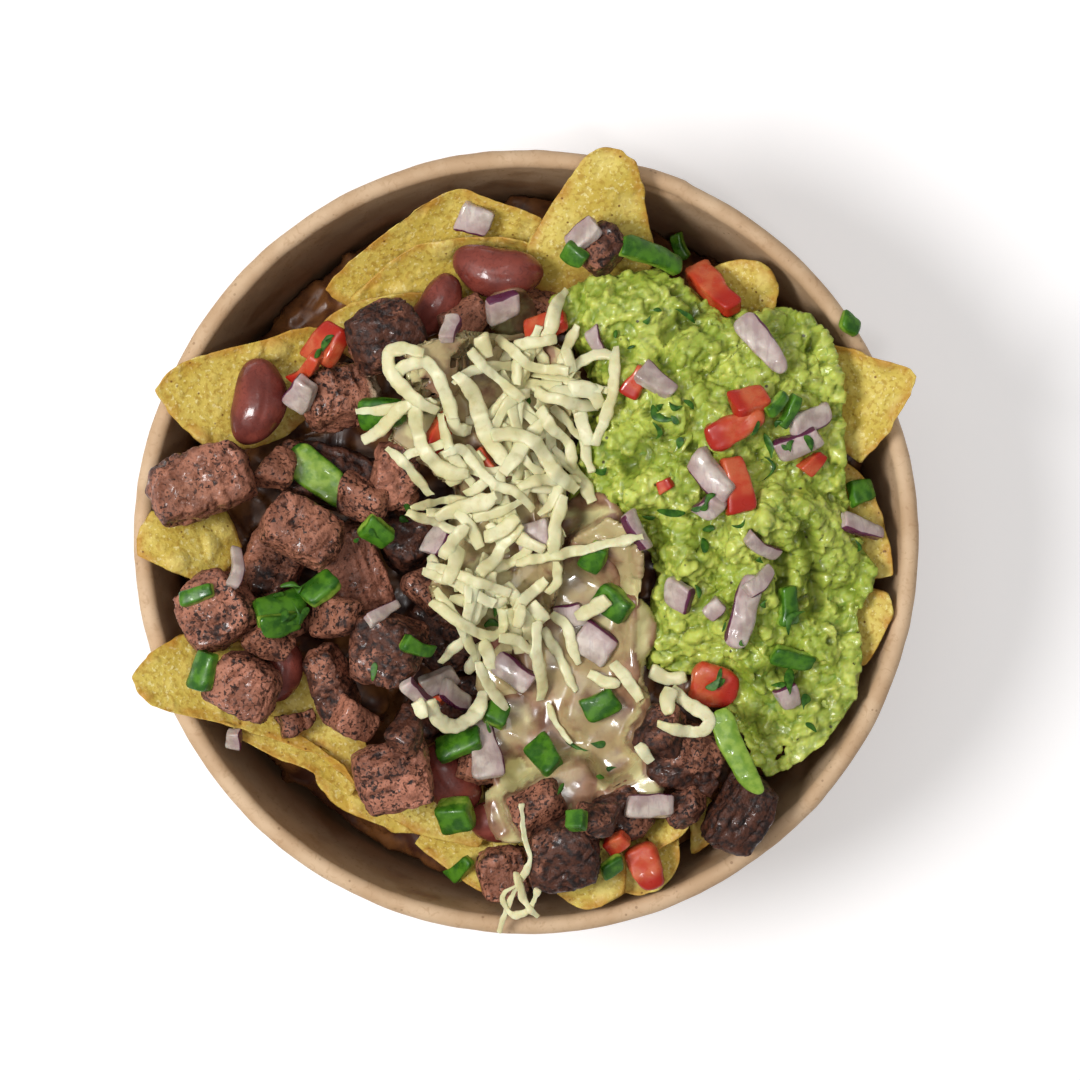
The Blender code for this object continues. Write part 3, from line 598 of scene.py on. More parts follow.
def make_bed(ground):
    """Broken chips in sauce, which fill the bowl under the pieces that show."""
    mesh = worked(merged("bed"), voxels(BED_VOXEL), smoothed(1))
    points, normals = points_of(mesh)
    _, edge, own = pebbles(points * (1, 1, 1.6), 7, 11)
    shards = (own - 0.5) * 2.4 * ease(0.0, 0.15, edge)
    offset = shards + 0.5 * rough(points, 3, 12, 2) - 0.6
    points += normals * (offset * ease(6, 12, points[:, 2]))[:, None]
    move_points(mesh, points)
    ground.add(points, 2)
    piece("sauced_bed", mesh, sauce_finish(), "chips_in_sauce", "bed")


# The chips.

BIG_CHIPS = ("chip_top", "chip_left_1", "chip_right_1", "chip_lower_left_1", "chip_top_left_1",
             "chip_top_left_2")


def make_chip(node, seed, finish, ground):
    """A thin fried plate: waves, blisters on both sides, and a ragged, browner rim."""
    bm = merged(node)
    bmesh.ops.join_triangles(
        bm, faces=bm.faces, angle_face_threshold=math.radians(50), angle_shape_threshold=math.radians(60))
    crease = bm.edges.layers.float.new("crease_edge")
    for edge in bm.edges:
        if len(edge.link_faces) == 2 and edge.calc_face_angle() > math.radians(48):
            edge[crease] = 0.8
    levels = 4 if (node in BIG_CHIPS) else 3
    mesh = worked(bm, smoothed(levels))
    points, normals = points_of(mesh)
    _, axes, _ = axes_of(points)
    plate = axes[:, 2]
    side = 1 - np.abs(normals @ plate)
    rim_points = points[side > 0.45][::2]
    rim_distance = np.full(len(points), 99.0)
    for start in range(0, len(points), 4000):
        gap = points[start : start + 4000, None, :] - rim_points[None, :, :]
        rim_distance[start : start + 4000] = np.sqrt((gap**2).sum(axis=2)).min(axis=1)
    near, _, own = pebbles(points + plate * 5 * rough(points, 9, seed)[:, None], 6.5, seed + 1)
    dome = ease(0.55, 0.15, near) * (own > 0.45)
    small, _, small_own = pebbles(points, 2.6, seed + 2)
    bead = ease(0.5, 0.1, small) * (small_own > 0.6)
    outward = np.sign(normals @ plate)
    swell = 0.9 * dome + 0.3 * bead
    buckle = 1.1 * rough(points, 17, seed + 3, 2) + 0.28 * rough(points, 5, seed + 4, 2)
    flat = np.clip(1 - side * 1.5, 0, 1)
    points = points + normals * ((swell * (outward > 0) - 0.5 * swell * (outward <= 0)) * flat
                                 + 0.10 * rough(points, 1.4, seed + 5, 2))[:, None]
    points += plate * (buckle * 0.55)[:, None]
    ragged = 0.9 * rough(points, 5, seed + 6, 3) + 0.25 * rough(points, 1.6, seed + 7)
    points += normals * (ragged * ease(0.3, 0.8, side))[:, None]
    move_points(mesh, points)
    store(mesh, "blister", np.clip(dome + 0.7 * bead, 0, 1))
    store(mesh, "rim", ease(2.6, 0.2, rim_distance + 0.6 * rough(points, 4, seed + 8)))
    inner = np.hypot(points[:, 0], points[:, 1])
    wet = ease(56, 40, inner + 7 * rough(points, 9, seed + 9, 2))
    store(mesh, "sauce", wet * 0.75)
    ground.add(points, 1)
    piece(node + "_fried", mesh, finish, "tortilla_chip", node)


# Steak and beans.

# How charred and how pink each dice is.
CHARRED = {
    "steak_15": (0.80, 0.1), "steak_18": (0.66, 0.3), "steak_2": (0.68, 0.3), "steak_11": (0.78, 0.1),
    "steak_12": (0.40, 0.8), "steak_4": (0.34, 0.75), "steak_8": (0.50, 0.45), "steak_10": (0.62, 0.2),
    "steak_20": (0.70, 0.15), "steak_21": (0.80, 0.05), "steak_1": (0.50, 0.5), "steak_6": (0.50, 0.6),
    "steak_7": (0.48, 0.6), "steak_9": (0.56, 0.4), "steak_5": (0.36, 0.7), "steak_17": (0.46, 0.6),
    "steak_3b": (0.46, 0.5), "steak_3": (0.5, 0.4), "steak_13": (0.45, 0.5), "steak_14": (0.5, 0.5),
    "steak_16": (0.6, 0.3), "steak_23": (0.5, 0.5), "steak_19": (0.6, 0.4),
}


def make_steak(node, seed, finish, ground):
    """A hand-cut dice: fibres along one way, clefts between them, crags and a charred crust."""
    mesh = worked(merged(node), voxels(STEAK_VOXEL))
    points, normals = points_of(mesh)
    centre, axes, half = axes_of(points)
    local = (points - centre) @ axes
    share = np.abs(local) / half
    along = seed % 2
    squeeze = np.ones(3)
    squeeze[along] = 0.16
    fibre = rough(local * squeeze + seed, 1.5, seed, 2)
    bundle = 1 - np.abs(rough(local * squeeze * 1.4 + seed, 3.2, seed + 1, 2))
    cleft = ease(0.90, 0.99, bundle)
    crag = rough(points, 2.4, seed + 2, 3)
    pit_near, _, pit_own = pebbles(points, 1.9, seed + 6)
    pit = ease(0.42, 0.1, pit_near) * (pit_own > 0.55)
    offset = 0.75 * rough(points, 7, seed + 3, 2) + 0.34 * fibre + 0.50 * crag - 0.75 * cleft - 0.30 * pit
    points = points + normals * offset[:, None]
    move_points(mesh, points)
    char, pink = CHARRED[node]
    corner = np.sort(share, axis=1)[:, 1]
    crust = char + 0.16 * ease(0.6, 0.95, corner) + 0.24 * rough(points, 6, seed + 4, 2) - 0.08 * crag
    crust += 0.10 * np.sign(local[:, 2]) * (seed % 3 == 0)
    # The char mark is the real crust, with painted shade added in the pits (the 0.25 * pit term).
    store(mesh, "char", crust - 0.12 + 0.25 * pit)
    store(mesh, "pink", np.clip(pink + 0.5 * rough(points, 8, seed + 5, 2), 0, 1))
    store(mesh, "grain", np.clip(0.5 + 0.8 * fibre + 0.6 * cleft, 0, 1))
    fat = np.zeros(len(points))
    if node == "steak_17":
        fat = ease(0.55, 0.75, local[:, 0] / half[0] + 0.2 * rough(points, 4, 5)) * 0.8
    store(mesh, "fat", fat)
    ground.add(points, 1)
    piece(node + "_seared", mesh, finish, "seared_steak", node)


# Scraps of steak in the gaps: plan place, length, width, thickness, turn and char.
SCRAPS = (
    (-43.7, -34.4, 7.8, 4.2, 4.0, 20, 0.7), (21.0, -15.0, 9.0, 8.0, 5.0, 10, 0.75),
    (-33.0, -34.0, 8.0, 6.0, 5.0, -30, 0.5), (-45.0, -15.0, 9.0, 6.0, 5.0, 10, 0.6),
    (-17.0, -8.0, 11.0, 8.0, 6.0, 40, 0.7), (26.0, -36.0, 9.0, 7.0, 6.0, 70, 0.7),
    (-13.0, -29.0, 10.0, 8.0, 5.0, 15, 0.75), (-9.0, -43.0, 8.0, 6.0, 5.0, -20, 0.5),
    (2.0, -50.5, 10.0, 7.0, 6.0, 30, 0.55), (-20.0, -34.0, 9.0, 6.0, 4.0, -50, 0.75),
    (-12.0, 42.0, 10.0, 6.5, 5.0, 35, 0.45), (3.0, 43.5, 11.0, 7.0, 5.0, -10, 0.5),
    (12.0, 42.5, 8.0, 5.5, 4.0, 30, 0.6), (8.0, 0.0, 11.0, 9.0, 6.0, 15, 0.45),
    (15.5, -5.0, 9.0, 8.0, 5.0, -35, 0.5), (11.0, 9.5, 8.5, 7.0, 5.0, 50, 0.5),
    (-31.0, 8.0, 9.0, 7.0, 5.0, -20, 0.6), (-47.0, 14.0, 8.0, 6.0, 5.0, 60, 0.55),
    (-23.0, -36.0, 8.0, 5.5, 5.0, 70, 0.75), (-36.0, -14.0, 10.0, 7.0, 5.0, 0, 0.55),
    (-49.0, -19.0, 8.0, 5.5, 5.0, -40, 0.55), (13.0, -53.0, 8.0, 6.0, 5.0, 0, 0.7),
    (30.0, -50.5, 8.0, 6.0, 5.0, 25, 0.7), (-2.0, -16.0, 12.0, 9.0, 5.0, 20, 0.4),
)


def make_scraps(finish, ground):
    """Small torn scraps of steak that fill the gaps between the dice."""
    pile = Pile()
    for number, (x, y, length, width, thickness, turn, char) in enumerate(SCRAPS):
        points, _ = cut_bit(length, width, thickness, 1500 + number, 0.1, 0.1, 0.2, 9.0)
        pile.add(settle(points, x, y, turn, 1.0, ground), GRID_FACES, char=char)
    bm = bmesh.new()
    bm.from_mesh(pile.mesh())
    mesh = worked(bm, smoothed(1))
    points, normals = points_of(mesh)
    fibre = rough(points * (1, 0.2, 1), 1.5, 1601, 2)
    crag = rough(points, 2.4, 1602, 3)
    points += normals * (0.6 * rough(points, 5, 1603, 2) + 0.3 * fibre + 0.5 * crag)[:, None]
    move_points(mesh, points)
    char = np.empty(len(mesh.vertices), np.float32)
    mesh.attributes["char"].data.foreach_get("value", char)
    mesh.attributes["char"].data.foreach_set("value", char + 0.2 * rough(points, 5, 1604, 2) - 0.16)
    store(mesh, "pink", np.clip(0.35 + 0.5 * rough(points, 8, 1605, 2), 0, 1))
    store(mesh, "grain", np.clip(0.5 + 0.8 * fibre, 0, 1))
    store(mesh, "fat", np.zeros(len(points)))
    ground.add(points, 1)
    piece("steak_scraps", mesh, finish, "seared_steak")


def make_bean(node, seed, finish, ground):
    """A cooked bean: a smooth skin with a few slack wrinkles and one long crease."""
    bm = merged(node)
    bmesh.ops.join_triangles(
        bm, faces=bm.faces, angle_face_threshold=math.radians(40), angle_shape_threshold=math.radians(60))
    mesh = worked(bm, smoothed(3))
    points, normals = points_of(mesh)
    centre, axes, half = axes_of(points)
    local = (points - centre) @ axes
    crease = np.exp(-((local[:, 1] - 0.25 * half[1] * np.cos(local[:, 0] * 0.25)) / 0.5) ** 2)
    crease *= ease(0.95, 0.3, np.abs(local[:, 0]) / half[0])
    slack = 0.22 * rough(local * (0.35, 1, 1), 2.4, seed, 2) + 0.3 * rough(points, 6, seed + 1)
    points = points + normals * (slack + 0.25 - 0.12 * crease)[:, None]
    move_points(mesh, points)
    ground.add(points, 1)
    piece(node + "_cooked", mesh, finish, "kidney_bean", node)


# Guacamole.

# Grooves left by the spoon: start, end, width and depth.
GROOVES = (
    ((51.5, 4.0), (57.0, -15.0), 1.5, 3.6),
    ((46.5, -1.0), (50.5, -15.5), 1.3, 2.2),
    ((54.0, -22.0), (40.5, -26.5), 1.5, 2.6),
    ((24.0, 38.0), (35.0, 44.0), 1.6, 2.2),
    ((18.0, 12.0), (28.0, 22.0), 1.8, 1.8),
    ((30.0, -4.0), (38.0, 6.0), 1.5, 1.8),
)


def groove_depth(points):
    total = np.zeros(len(points))
    bent = points[:, :2] + 1.2 * np.stack([rough(points, 7, 71), rough(points, 7, 72)], axis=1)
    for start, end, width, depth in GROOVES:
        start, end = np.array(start), np.array(end)
        run = end - start
        t = np.clip((bent - start) @ run / (run @ run), 0, 1)
        gap = np.linalg.norm(bent - start - t[:, None] * run, axis=1)
        total = np.maximum(total, depth * np.exp(-((gap / width) ** 2)) * ease(0, 0.2, t) * ease(1, 0.8, t))
    return total


def make_guacamole(ground):
    """Mashed avocado: folds from the spoon, small soft chunks, and finer mash between them."""
    mesh = worked(merged("guacamole"), voxels(GUACAMOLE_VOXEL))
    points, normals = points_of(mesh)
    up = ease(-0.2, 0.3, normals[:, 2])
    fold = rough(points, 14, 31, 2)
    warped = points + 1.6 * np.stack([rough(points, 4, 320 + k, 2) for k in range(3)], axis=1)
    near, edge, own = pebbles(warped, 5.0, 33)
    chunk = np.sqrt(np.clip(1 - near * near, 0, 1)) * (0.4 + own)
    fine_near, fine_edge, fine_own = pebbles(warped, 2.3, 34)
    fine = np.sqrt(np.clip(1 - fine_near**2, 0, 1)) * (0.3 + fine_own)
    grain_near, _, grain_own = pebbles(points, 1.15, 35)
    grain = np.clip(1 - grain_near, 0, 1) * grain_own
    groove = groove_depth(points)
    patch = ease(-0.35, 0.3, rough(points, 9, 36, 2))
    # The tip towards -Y is too thin for holes and deep dips.
    deep_enough = ease(-38, -26, points[:, 1])
    hole = ease(0.42, 0.62, rough(points, 3.6, 37, 2)) * deep_enough
    offset = (1.3 * fold + 2.0 * (chunk - 0.7) * patch + 1.9 * (fine - 0.6) + 1.1 * (grain - 0.25)
              - groove - 1.6 * hole + 0.5)
    offset = np.maximum(offset, -0.2 - 5.0 * deep_enough)
    points = points + (normals * 0.65 + np.array([0, 0, 0.35])) * (offset * up)[:, None]
    move_points(mesh, points)
    # Painted shade: the crease mark darkens the edges between chunks, the grooves and the holes.
    crease = (ease(0.14, 0.0, edge) * patch * 0.35 + ease(0.12, 0.0, fine_edge) * 0.35
              + ease(0.3, 2.0, groove) * 0.5 + hole * 0.7)
    store(mesh, "crease", np.clip(crease, 0, 0.85) * up)
    # Painted light and shade: the lump mark is high on lump tops and low in the dips between them.
    store(mesh, "lump", np.clip(0.05 + 0.55 * fine + 0.25 * chunk * patch + 0.5 * grain, 0, 1))
    ground.add(points, 1)
    piece("guacamole_mash", mesh, guacamole_finish(), "guacamole", "guacamole")


# Cheese.


def make_cheese_bed(ground):
    """What lies under the shreds: soft lumps of cheese that has begun to melt over meat and onion."""
    mesh = worked(merged("cheese_heap"), voxels(CHEESE_BED_VOXEL))
    points, normals = points_of(mesh)
    near, _, own = pebbles(points * (1, 1, 0.5), 6.5, 61)
    lump = np.sqrt(np.clip(1 - near * near, 0, 1)) * (0.3 + own)
    up = ease(-0.2, 0.4, normals[:, 2])
    inward = normals * (1, 1, 0) * -1.6
    points = points + inward + (normals * 0.5 + (0, 0, 0.5)) * (2.2 * lump * up)[:, None]
    points[:, 2] += (0.5 * rough(points, 3, 62, 2) - 4.6) * up
    move_points(mesh, points)
    store(mesh, "thick", np.clip(0.15 + 0.6 * own + 0.3 * rough(points, 3, 63, 2), 0, 1))
    ground.add(points, 1)
    return mesh


def make_melted(ground):
    """Cheese melted over meat, beans and onion, thick in the dips and thin on the swells."""
    mesh = worked(merged("melted_cheese"), voxels(MELTED_VOXEL))
    points, normals = points_of(mesh)
    near, _, own = pebbles(points * (1, 1, 0.6), 8.5, 64)
    swell = np.sqrt(np.clip(1 - near * near, 0, 1)) * (0.4 + own)
    run = rough(points * (1, 0.45, 1), 5, 65, 2)
    up = ease(-0.4, 0.2, normals[:, 2])
    offset = 2.6 * (swell - 0.5) + 0.5 * run + 0.25 * rough(points, 2.2, 66)
    points = points + (normals * 0.5 + np.array([0, 0, 0.5])) * (offset * up)[:, None]
    move_points(mesh, points)
    pool = np.exp(-(((points[:, 0] - 15) / 9) ** 2 + ((points[:, 1] + 36) / 10) ** 2))
    thick = 0.5 - 0.45 * (swell - 0.6) + 0.35 * run + 0.5 * pool
    store(mesh, "thick", np.clip(thick, 0, 1))
    ground.add(points, 1)
    return mesh


# The pools that the melted cheese has run into: plan place and radius.
POOLS = (
    (9.0, -23.0, 12.0), (13.0, -36.0, 11.0), (4.0, -43.5, 9.5), (-2.5, -35.0, 6.0), (9.0, -8.0, 8.0),
    (20.0, -46.0, 6.0), (-3.0, -51.5, 5.5), (12.0, 3.0, 6.0), (-3.0, 43.5, 4.5), (17.0, -17.0, 7.0),
)
FILM_DEPTH = 1.4
# Food that stands higher than this comes out of the film.
FILM_TOP = 65.0
FILM_CLOSING = 6
FILM_SOFTENING = 5


def neighbours(field, pick, rounds):
    """The field after each cell has taken its highest, lowest or mean neighbour that many times."""
    for _ in range(rounds):
        sides = [field] + [np.roll(field, shift, axis=axis) for axis in (0, 1) for shift in (-1, 1)]
        field = pick(sides, axis=0)
    return field


def make_film(finish, ground):
    """The skin of melted cheese: level over dips, thin over swells, and gone past the pools."""
    along = np.arange(SIDE) * CELL - HALF_MAP
    x, y = np.meshgrid(along, along, indexing="ij")
    flat = np.stack([x.ravel(), y.ravel(), np.zeros(x.size)], axis=1)
    reach = np.zeros(x.shape)
    for px, py, radius in POOLS:
        px, py = under_eye(px, py, 58.0)
        reach = np.maximum(reach, 1 - np.hypot(x - px, y - py) / (radius * 1.15))
    reach += 0.22 * rough(flat, 7, 67, 3).reshape(x.shape) * (reach > 0)
    closed = neighbours(neighbours(ground.z, np.max, FILM_CLOSING), np.min, FILM_CLOSING)
    level = neighbours(np.minimum(closed, FILM_TOP), np.mean, FILM_SOFTENING)
    top = level + 0.5 * ease(0.0, 0.3, reach) - 1.6 * ease(0.18, 0.0, reach)
    inside = reach > 0.0
    cells = np.argwhere(inside)
    index = np.full(x.shape, -1)
    index[inside] = np.arange(len(cells))
    upper = np.stack([x[inside], y[inside], top[inside]], axis=1)
    lower = upper - (0, 0, FILM_DEPTH)
    count = len(cells)
    corners = np.stack([index[:-1, :-1], index[1:, :-1], index[1:, 1:], index[:-1, 1:]], axis=-1)
    quads = corners[(corners >= 0).all(axis=-1)]
    edges = np.concatenate([quads[:, [k, (k + 1) % 4]] for k in range(4)])
    known = {tuple(edge) for edge in edges.tolist()}
    rim = [edge for edge in known if (edge[1], edge[0]) not in known]
    faces = quads.tolist() + (quads[:, ::-1] + count).tolist()
    faces += [(b, a, a + count, b + count) for a, b in sorted(rim)]
    mesh = bpy.data.meshes.new("film")
    mesh.from_pydata((np.vstack([upper, lower]) * MM).tolist(), [], faces)
    deep = (level - neighbours(ground.z, np.mean, 1))[inside]
    thick = 0.02 + 0.60 * ease(0.2, 3.0, deep) + 0.26 * ease(0.1, 0.7, reach[inside])
    store(mesh, "thick", np.tile(thick, 2))
    bm = bmesh.new()
    bm.from_mesh(mesh)
    loose = [vertex for vertex in bm.verts if not vertex.link_faces]
    bmesh.ops.delete(bm, geom=loose, context="VERTS")
    mesh = worked(bm, ("SMOOTH", {"factor": 0.5, "iterations": 2}))
    points, _ = points_of(mesh)
    ground.add(points, 0)
    piece("melted_cheese_film", mesh, finish, "melted_cheese")


def strand_path(knots, step=0.8):
    """Evenly spaced points on a smooth curve through the knots."""
    knots = np.array(knots, float)
    padded = np.vstack([2 * knots[0] - knots[1], knots, 2 * knots[-1] - knots[-2]])
    fine = []
    for before, here, after, beyond in zip(padded, padded[1:], padded[2:], padded[3:]):
        for t in np.arange(0, 1, 0.1):
            fine.append(0.5 * (2 * here + (after - before) * t
                               + (2 * before - 5 * here + 4 * after - beyond) * t**2
                               + (3 * here - before - 3 * after + beyond) * t**3))
    fine = np.array([*fine, knots[-1]])
    run = np.concatenate([[0], np.cumsum(np.linalg.norm(np.diff(fine, axis=0), axis=1))])
    stops = np.linspace(0, run[-1], max(int(run[-1] / step), 3))
    return np.stack([np.interp(stops, run, fine[:, k]) for k in (0, 1)], axis=1)


def lay_strand(path, ground, width, stiffness=14):
    """Heights for a strand on the plan path: it rests on what is there and bridges the dips."""
    z = np.full(len(path), 62.0)
    for _ in range(2):
        x, y = under_eye(path[:, 0], path[:, 1], z)
        plan = np.stack([x, y, z], axis=1)
        aside = np.gradient(plan[:, :2], axis=0)
        aside /= np.linalg.norm(aside, axis=1)[:, None] + 1e-9
        aside = np.stack([-aside[:, 1], aside[:, 0], np.zeros(len(path))], axis=1)
        below = np.max([ground.at(plan + aside * width * s) for s in (-0.3, 0.0, 0.3)], axis=0)
        rest = below + STRAND_THICKNESS * 0.35
        z = rest.copy()
        for _ in range(stiffness):
            average = z.copy()
            average[1:-1] = (z[:-2] + z[1:-1] * 2 + z[2:]) / 4
            z = np.maximum(rest - 0.25, average)
        # A shred is too stiff to hang down steeply from what holds it up.
        for order in (range(1, len(z)), range(len(z) - 2, -1, -1)):
            for i in order:
                z[i] = max(z[i], z[i - 1 if order.step > 0 else i + 1] - STRAND_FALL)
    plan[:, 2] = z
    across = [plan + aside * width * s + np.array([0, 0, STRAND_THICKNESS / 2])
              for s in (-0.45, -0.15, 0.15, 0.45)]
    halfway = [(row[1:] + row[:-1]) / 2 for row in across]
    ground.add(np.vstack(across + halfway), 0)
    return plan


def ribbon_tree():
    """Geometry Nodes: each line of edges becomes a flat ribbon of cheese."""
    tree = bpy.data.node_groups.new("cheese_ribbon", "GeometryNodeTree")
    face = tree.interface
    face.new_socket("Geometry", in_out="INPUT", socket_type="NodeSocketGeometry")
    face.new_socket("Width", in_out="INPUT", socket_type="NodeSocketFloat")
    face.new_socket("Thickness", in_out="INPUT", socket_type="NodeSocketFloat")
    face.new_socket("Material", in_out="INPUT", socket_type="NodeSocketMaterial")
    face.new_socket("Geometry", in_out="OUTPUT", socket_type="NodeSocketGeometry")

    def node(kind, **settings):
        made = tree.nodes.new(kind)
        for key, value in settings.items():
            setattr(made, key, value)
        return made

    def link(source, output, target, socket):
        tree.links.new(source.outputs[output], target.inputs[socket])

    given = node("NodeGroupInput")
    lines = node("GeometryNodeMeshToCurve")
    upright = node("GeometryNodeSetCurveNormal", mode="Z_UP")
    turned = node("GeometryNodeSetCurveTilt")
    tilt = node("GeometryNodeInputNamedAttribute", data_type="FLOAT")
    tilt.inputs["Name"].default_value = "tilt"
    girth = node("GeometryNodeInputNamedAttribute", data_type="FLOAT")
    girth.inputs["Name"].default_value = "girth"
    outline = node("GeometryNodeCurvePrimitiveQuadrilateral")
    corner = node("GeometryNodeFilletCurve", mode="POLY")
    corner.inputs["Count"].default_value = 1
    corner.inputs["Radius"].default_value = 0.3 * MM
    sweep = node("GeometryNodeCurveToMesh")
    sweep.inputs["Fill Caps"].default_value = True
    whole = node("GeometryNodeRealizeInstances")
    painted = node("GeometryNodeSetMaterial")
    out = node("NodeGroupOutput")
    link(given, "Geometry", lines, "Mesh")
    link(lines, "Curve", upright, "Curve")
    link(upright, "Curve", turned, "Curve")
    link(tilt, "Attribute", turned, "Tilt")
    link(given, "Width", outline, "Width")
    link(given, "Thickness", outline, "Height")
    link(outline, "Curve", corner, "Curve")
    link(turned, "Curve", sweep, "Curve")
    link(corner, "Curve", sweep, "Profile Curve")
    link(girth, "Attribute", sweep, "Scale")
    link(sweep, "Mesh", whole, "Geometry")
    link(whole, "Geometry", painted, "Geometry")
    link(given, "Material", painted, "Material")
    link(painted, "Geometry", out, "Geometry")
    return tree


def modified(mesh, tree, **values):
    """The plain mesh that a Geometry Nodes tree makes of a mesh, with its inputs set by name."""
    blank = bpy.data.objects.new("blank", mesh)
    bpy.context.scene.collection.objects.link(blank)
    modifier = blank.modifiers.new("nodes", "NODES")
    modifier.node_group = tree
    for item in tree.interface.items_tree:
        if item.in_out == "INPUT" and item.name in values:
            modifier[item.identifier] = values[item.name]
    done = bpy.data.meshes.new_from_object(blank.evaluated_get(bpy.context.evaluated_depsgraph_get()))
    bpy.data.objects.remove(blank)
    return done


STRAND_WIDTH = 2.6
STRAND_THICKNESS = 1.1
# The farthest that a shred drops between two of its points, which are 0.8 apart.
STRAND_FALL = 0.6
LOOSE_STRANDS = 62
# Shreds that can be told apart, from the lowest up: a run of plan points each.
SHREDS = (
    ((-19.1, -4.4), (-14.8, -5.5), (-11.3, -7.1), (-7.8, -8.3), (-3.1, -9.8)),
    ((-12.4, -0.9), (-14.0, -4.8), (-15.2, -8.3)),
    ((-8.8, 39.3), (-8.0, 36.9), (-7.2, 34.9)),
    ((-1.9, 34.9), (-1.9, 29.7)),
    ((7.3, 36.9), (8.9, 32.1)),
    ((-2.3, 37.3), (2.5, 38.1), (5.7, 38.5)),
    ((-14.8, 26.9), (-13.6, 21.7), (-10.4, 21.3)),
    ((-13.6, 32.1), (-10.0, 28.1), (-8.8, 23.3), (-6.4, 18.4), (-3.1, 13.6)),
    ((-10.8, 36.5), (-8.0, 33.3), (-4.7, 30.5), (-0.7, 26.9)),
    ((-5.6, 38.9), (-1.5, 35.3), (1.7, 33.3), (8.1, 32.5)),
    ((-26.0, 30.3), (-23.2, 33.3), (-19.6, 34.5), (-17.6, 32.5), (-16.0, 29.3), (-14.8, 26.5),
     (-14.0, 23.3)),
    ((-31.2, 19.2), (-27.6, 21.7), (-24.4, 24.9), (-21.6, 26.5)),
    ((-21.6, 26.5), (-20.8, 21.7), (-19.6, 17.6), (-17.2, 14.8), (-14.0, 12.8), (-10.8, 12.8)),
    ((-19.4, 35.9), (-23.6, 36.7), (-26.0, 36.1), (-26.4, 33.7), (-24.4, 30.5), (-22.0, 27.7),
     (-19.6, 26.1), (-17.0, 24.9)),
    ((-26.8, 18.0), (-23.6, 15.2), (-20.8, 12.0), (-18.2, 8.8)),
    ((1.7, 28.5), (4.9, 27.3), (9.7, 26.1), (13.7, 25.7)),
    ((8.1, 29.3), (12.5, 28.5), (14.1, 25.7)),
    ((10.1, 24.9), (10.9, 21.7), (11.7, 18.4)),
    ((17.1, 37.3), (16.7, 32.1), (15.7, 26.1), (13.1, 18.4)),
    ((-4.7, 12.8), (-1.9, 16.4), (0.5, 20.1)),
    ((2.5, 25.3), (4.9, 21.7), (8.1, 18.4), (8.9, 13.6)),
    ((-6.8, 20.1), (-2.7, 20.5), (1.7, 18.8), (4.9, 14.0), (9.7, 9.6)),
    ((-16.0, 16.4), (-12.4, 17.6), (-9.6, 14.4), (-6.0, 10.8), (-1.9, 9.2), (1.3, 6.0)),
    ((-17.2, 4.4), (-12.8, 6.4), (-8.0, 7.6), (-5.6, 8.8)),
    ((-13.6, 5.6), (-11.2, 3.6), (-8.8, -1.2)),
    ((-16.0, -3.2), (-13.6, 0.4), (-11.2, 3.2)),
    ((-8.0, 0.8), (-4.7, 2.0), (-1.5, 4.8)),
    ((7.3, 8.8), (5.7, 4.0), (5.3, 0.0), (5.3, -3.2)),
    ((-2.0, -4.0), (6.0, -2.6), (14.0, -0.8), (22.4, 1.0)),
    ((-17.5, -9.0), (-14.8, -12.5), (-12.4, -16.0), (-12.1, -18.4)),
    ((-18.3, -11.4), (-14.4, -14.1), (-10.5, -16.8), (-7.4, -18.0), (-4.7, -16.8), (-4.3, -12.9)),
    ((5.5, -3.6), (5.8, -7.5), (3.9, -9.8)),
    ((3.9, -7.1), (0.8, -9.8), (-2.3, -13.3)),
    ((-0.8, -11.8), (-1.9, -16.4)),
    ((-8.5, -18.8), (-7.4, -21.5), (-6.6, -24.6)),
    ((-5.4, -18.4), (-2.3, -18.8), (1.2, -20.7)),
    ((0.8, -11.8), (3.9, -15.3)),
    ((4.7, -13.7), (7.8, -16.0), (8.6, -19.9), (10.1, -23.4)),
    ((3.1, -16.4), (5.5, -20.7), (7.8, -25.4), (9.7, -28.5)),
    ((2.0, -15.3), (2.0, -21.5), (3.1, -26.9), (2.7, -30.4)),
    ((15.6, -11.0), (12.5, -12.9), (9.3, -14.5)),
    ((11.7, -25.0), (15.2, -26.6), (17.9, -27.3)),
    ((16.3, -23.1), (19.1, -26.2), (21.8, -30.4)),
    ((23.4, -24.6), (26.9, -26.2), (30.4, -25.8)),
    ((27.6, -28.1), (31.4, -31.2), (35.0, -33.9), (33.1, -36.3), (28.6, -35.8), (24.9, -34.7)),
    ((27.6, -28.1), (26.8, -30.5), (27.0, -33.0)),
    ((-18.3, -30.1), (-17.1, -33.6), (-14.4, -35.1), (-10.9, -33.9), (-8.5, -30.8), (-8.2, -28.5)),
    ((-9.3, -22.7), (-7.8, -26.2), (-5.4, -29.7), (-3.5, -32.0)),
    ((-21.0, -30.4), (-19.4, -33.9)),
    ((21.0, -38.6), (23.7, -42.1)),
)
# Thinner threads of the same cheese.
THREADS = (
    ((3.9, -30.4), (5.5, -34.3), (8.6, -38.6)),
    ((-1.0, -50.0), (-0.4, -56.0), (0.6, -61.0), (-1.8, -65.5), (-3.6, -69.5), (-5.2, -74.4)),
    ((2.2, -66.2), (0.4, -70.0), (-3.0, -71.0), (-4.6, -67.5), (-1.6, -65.2)),
    ((-2.0, -63.0), (-0.4, -68.5), (2.2, -71.4)),
)
HEAP_MIDDLE = ((-12, 24), (-6, 30), (2, 24), (-2, 14), (-8, 10), (-4, 2), (-8, -6), (-2, -12), (4, 30))


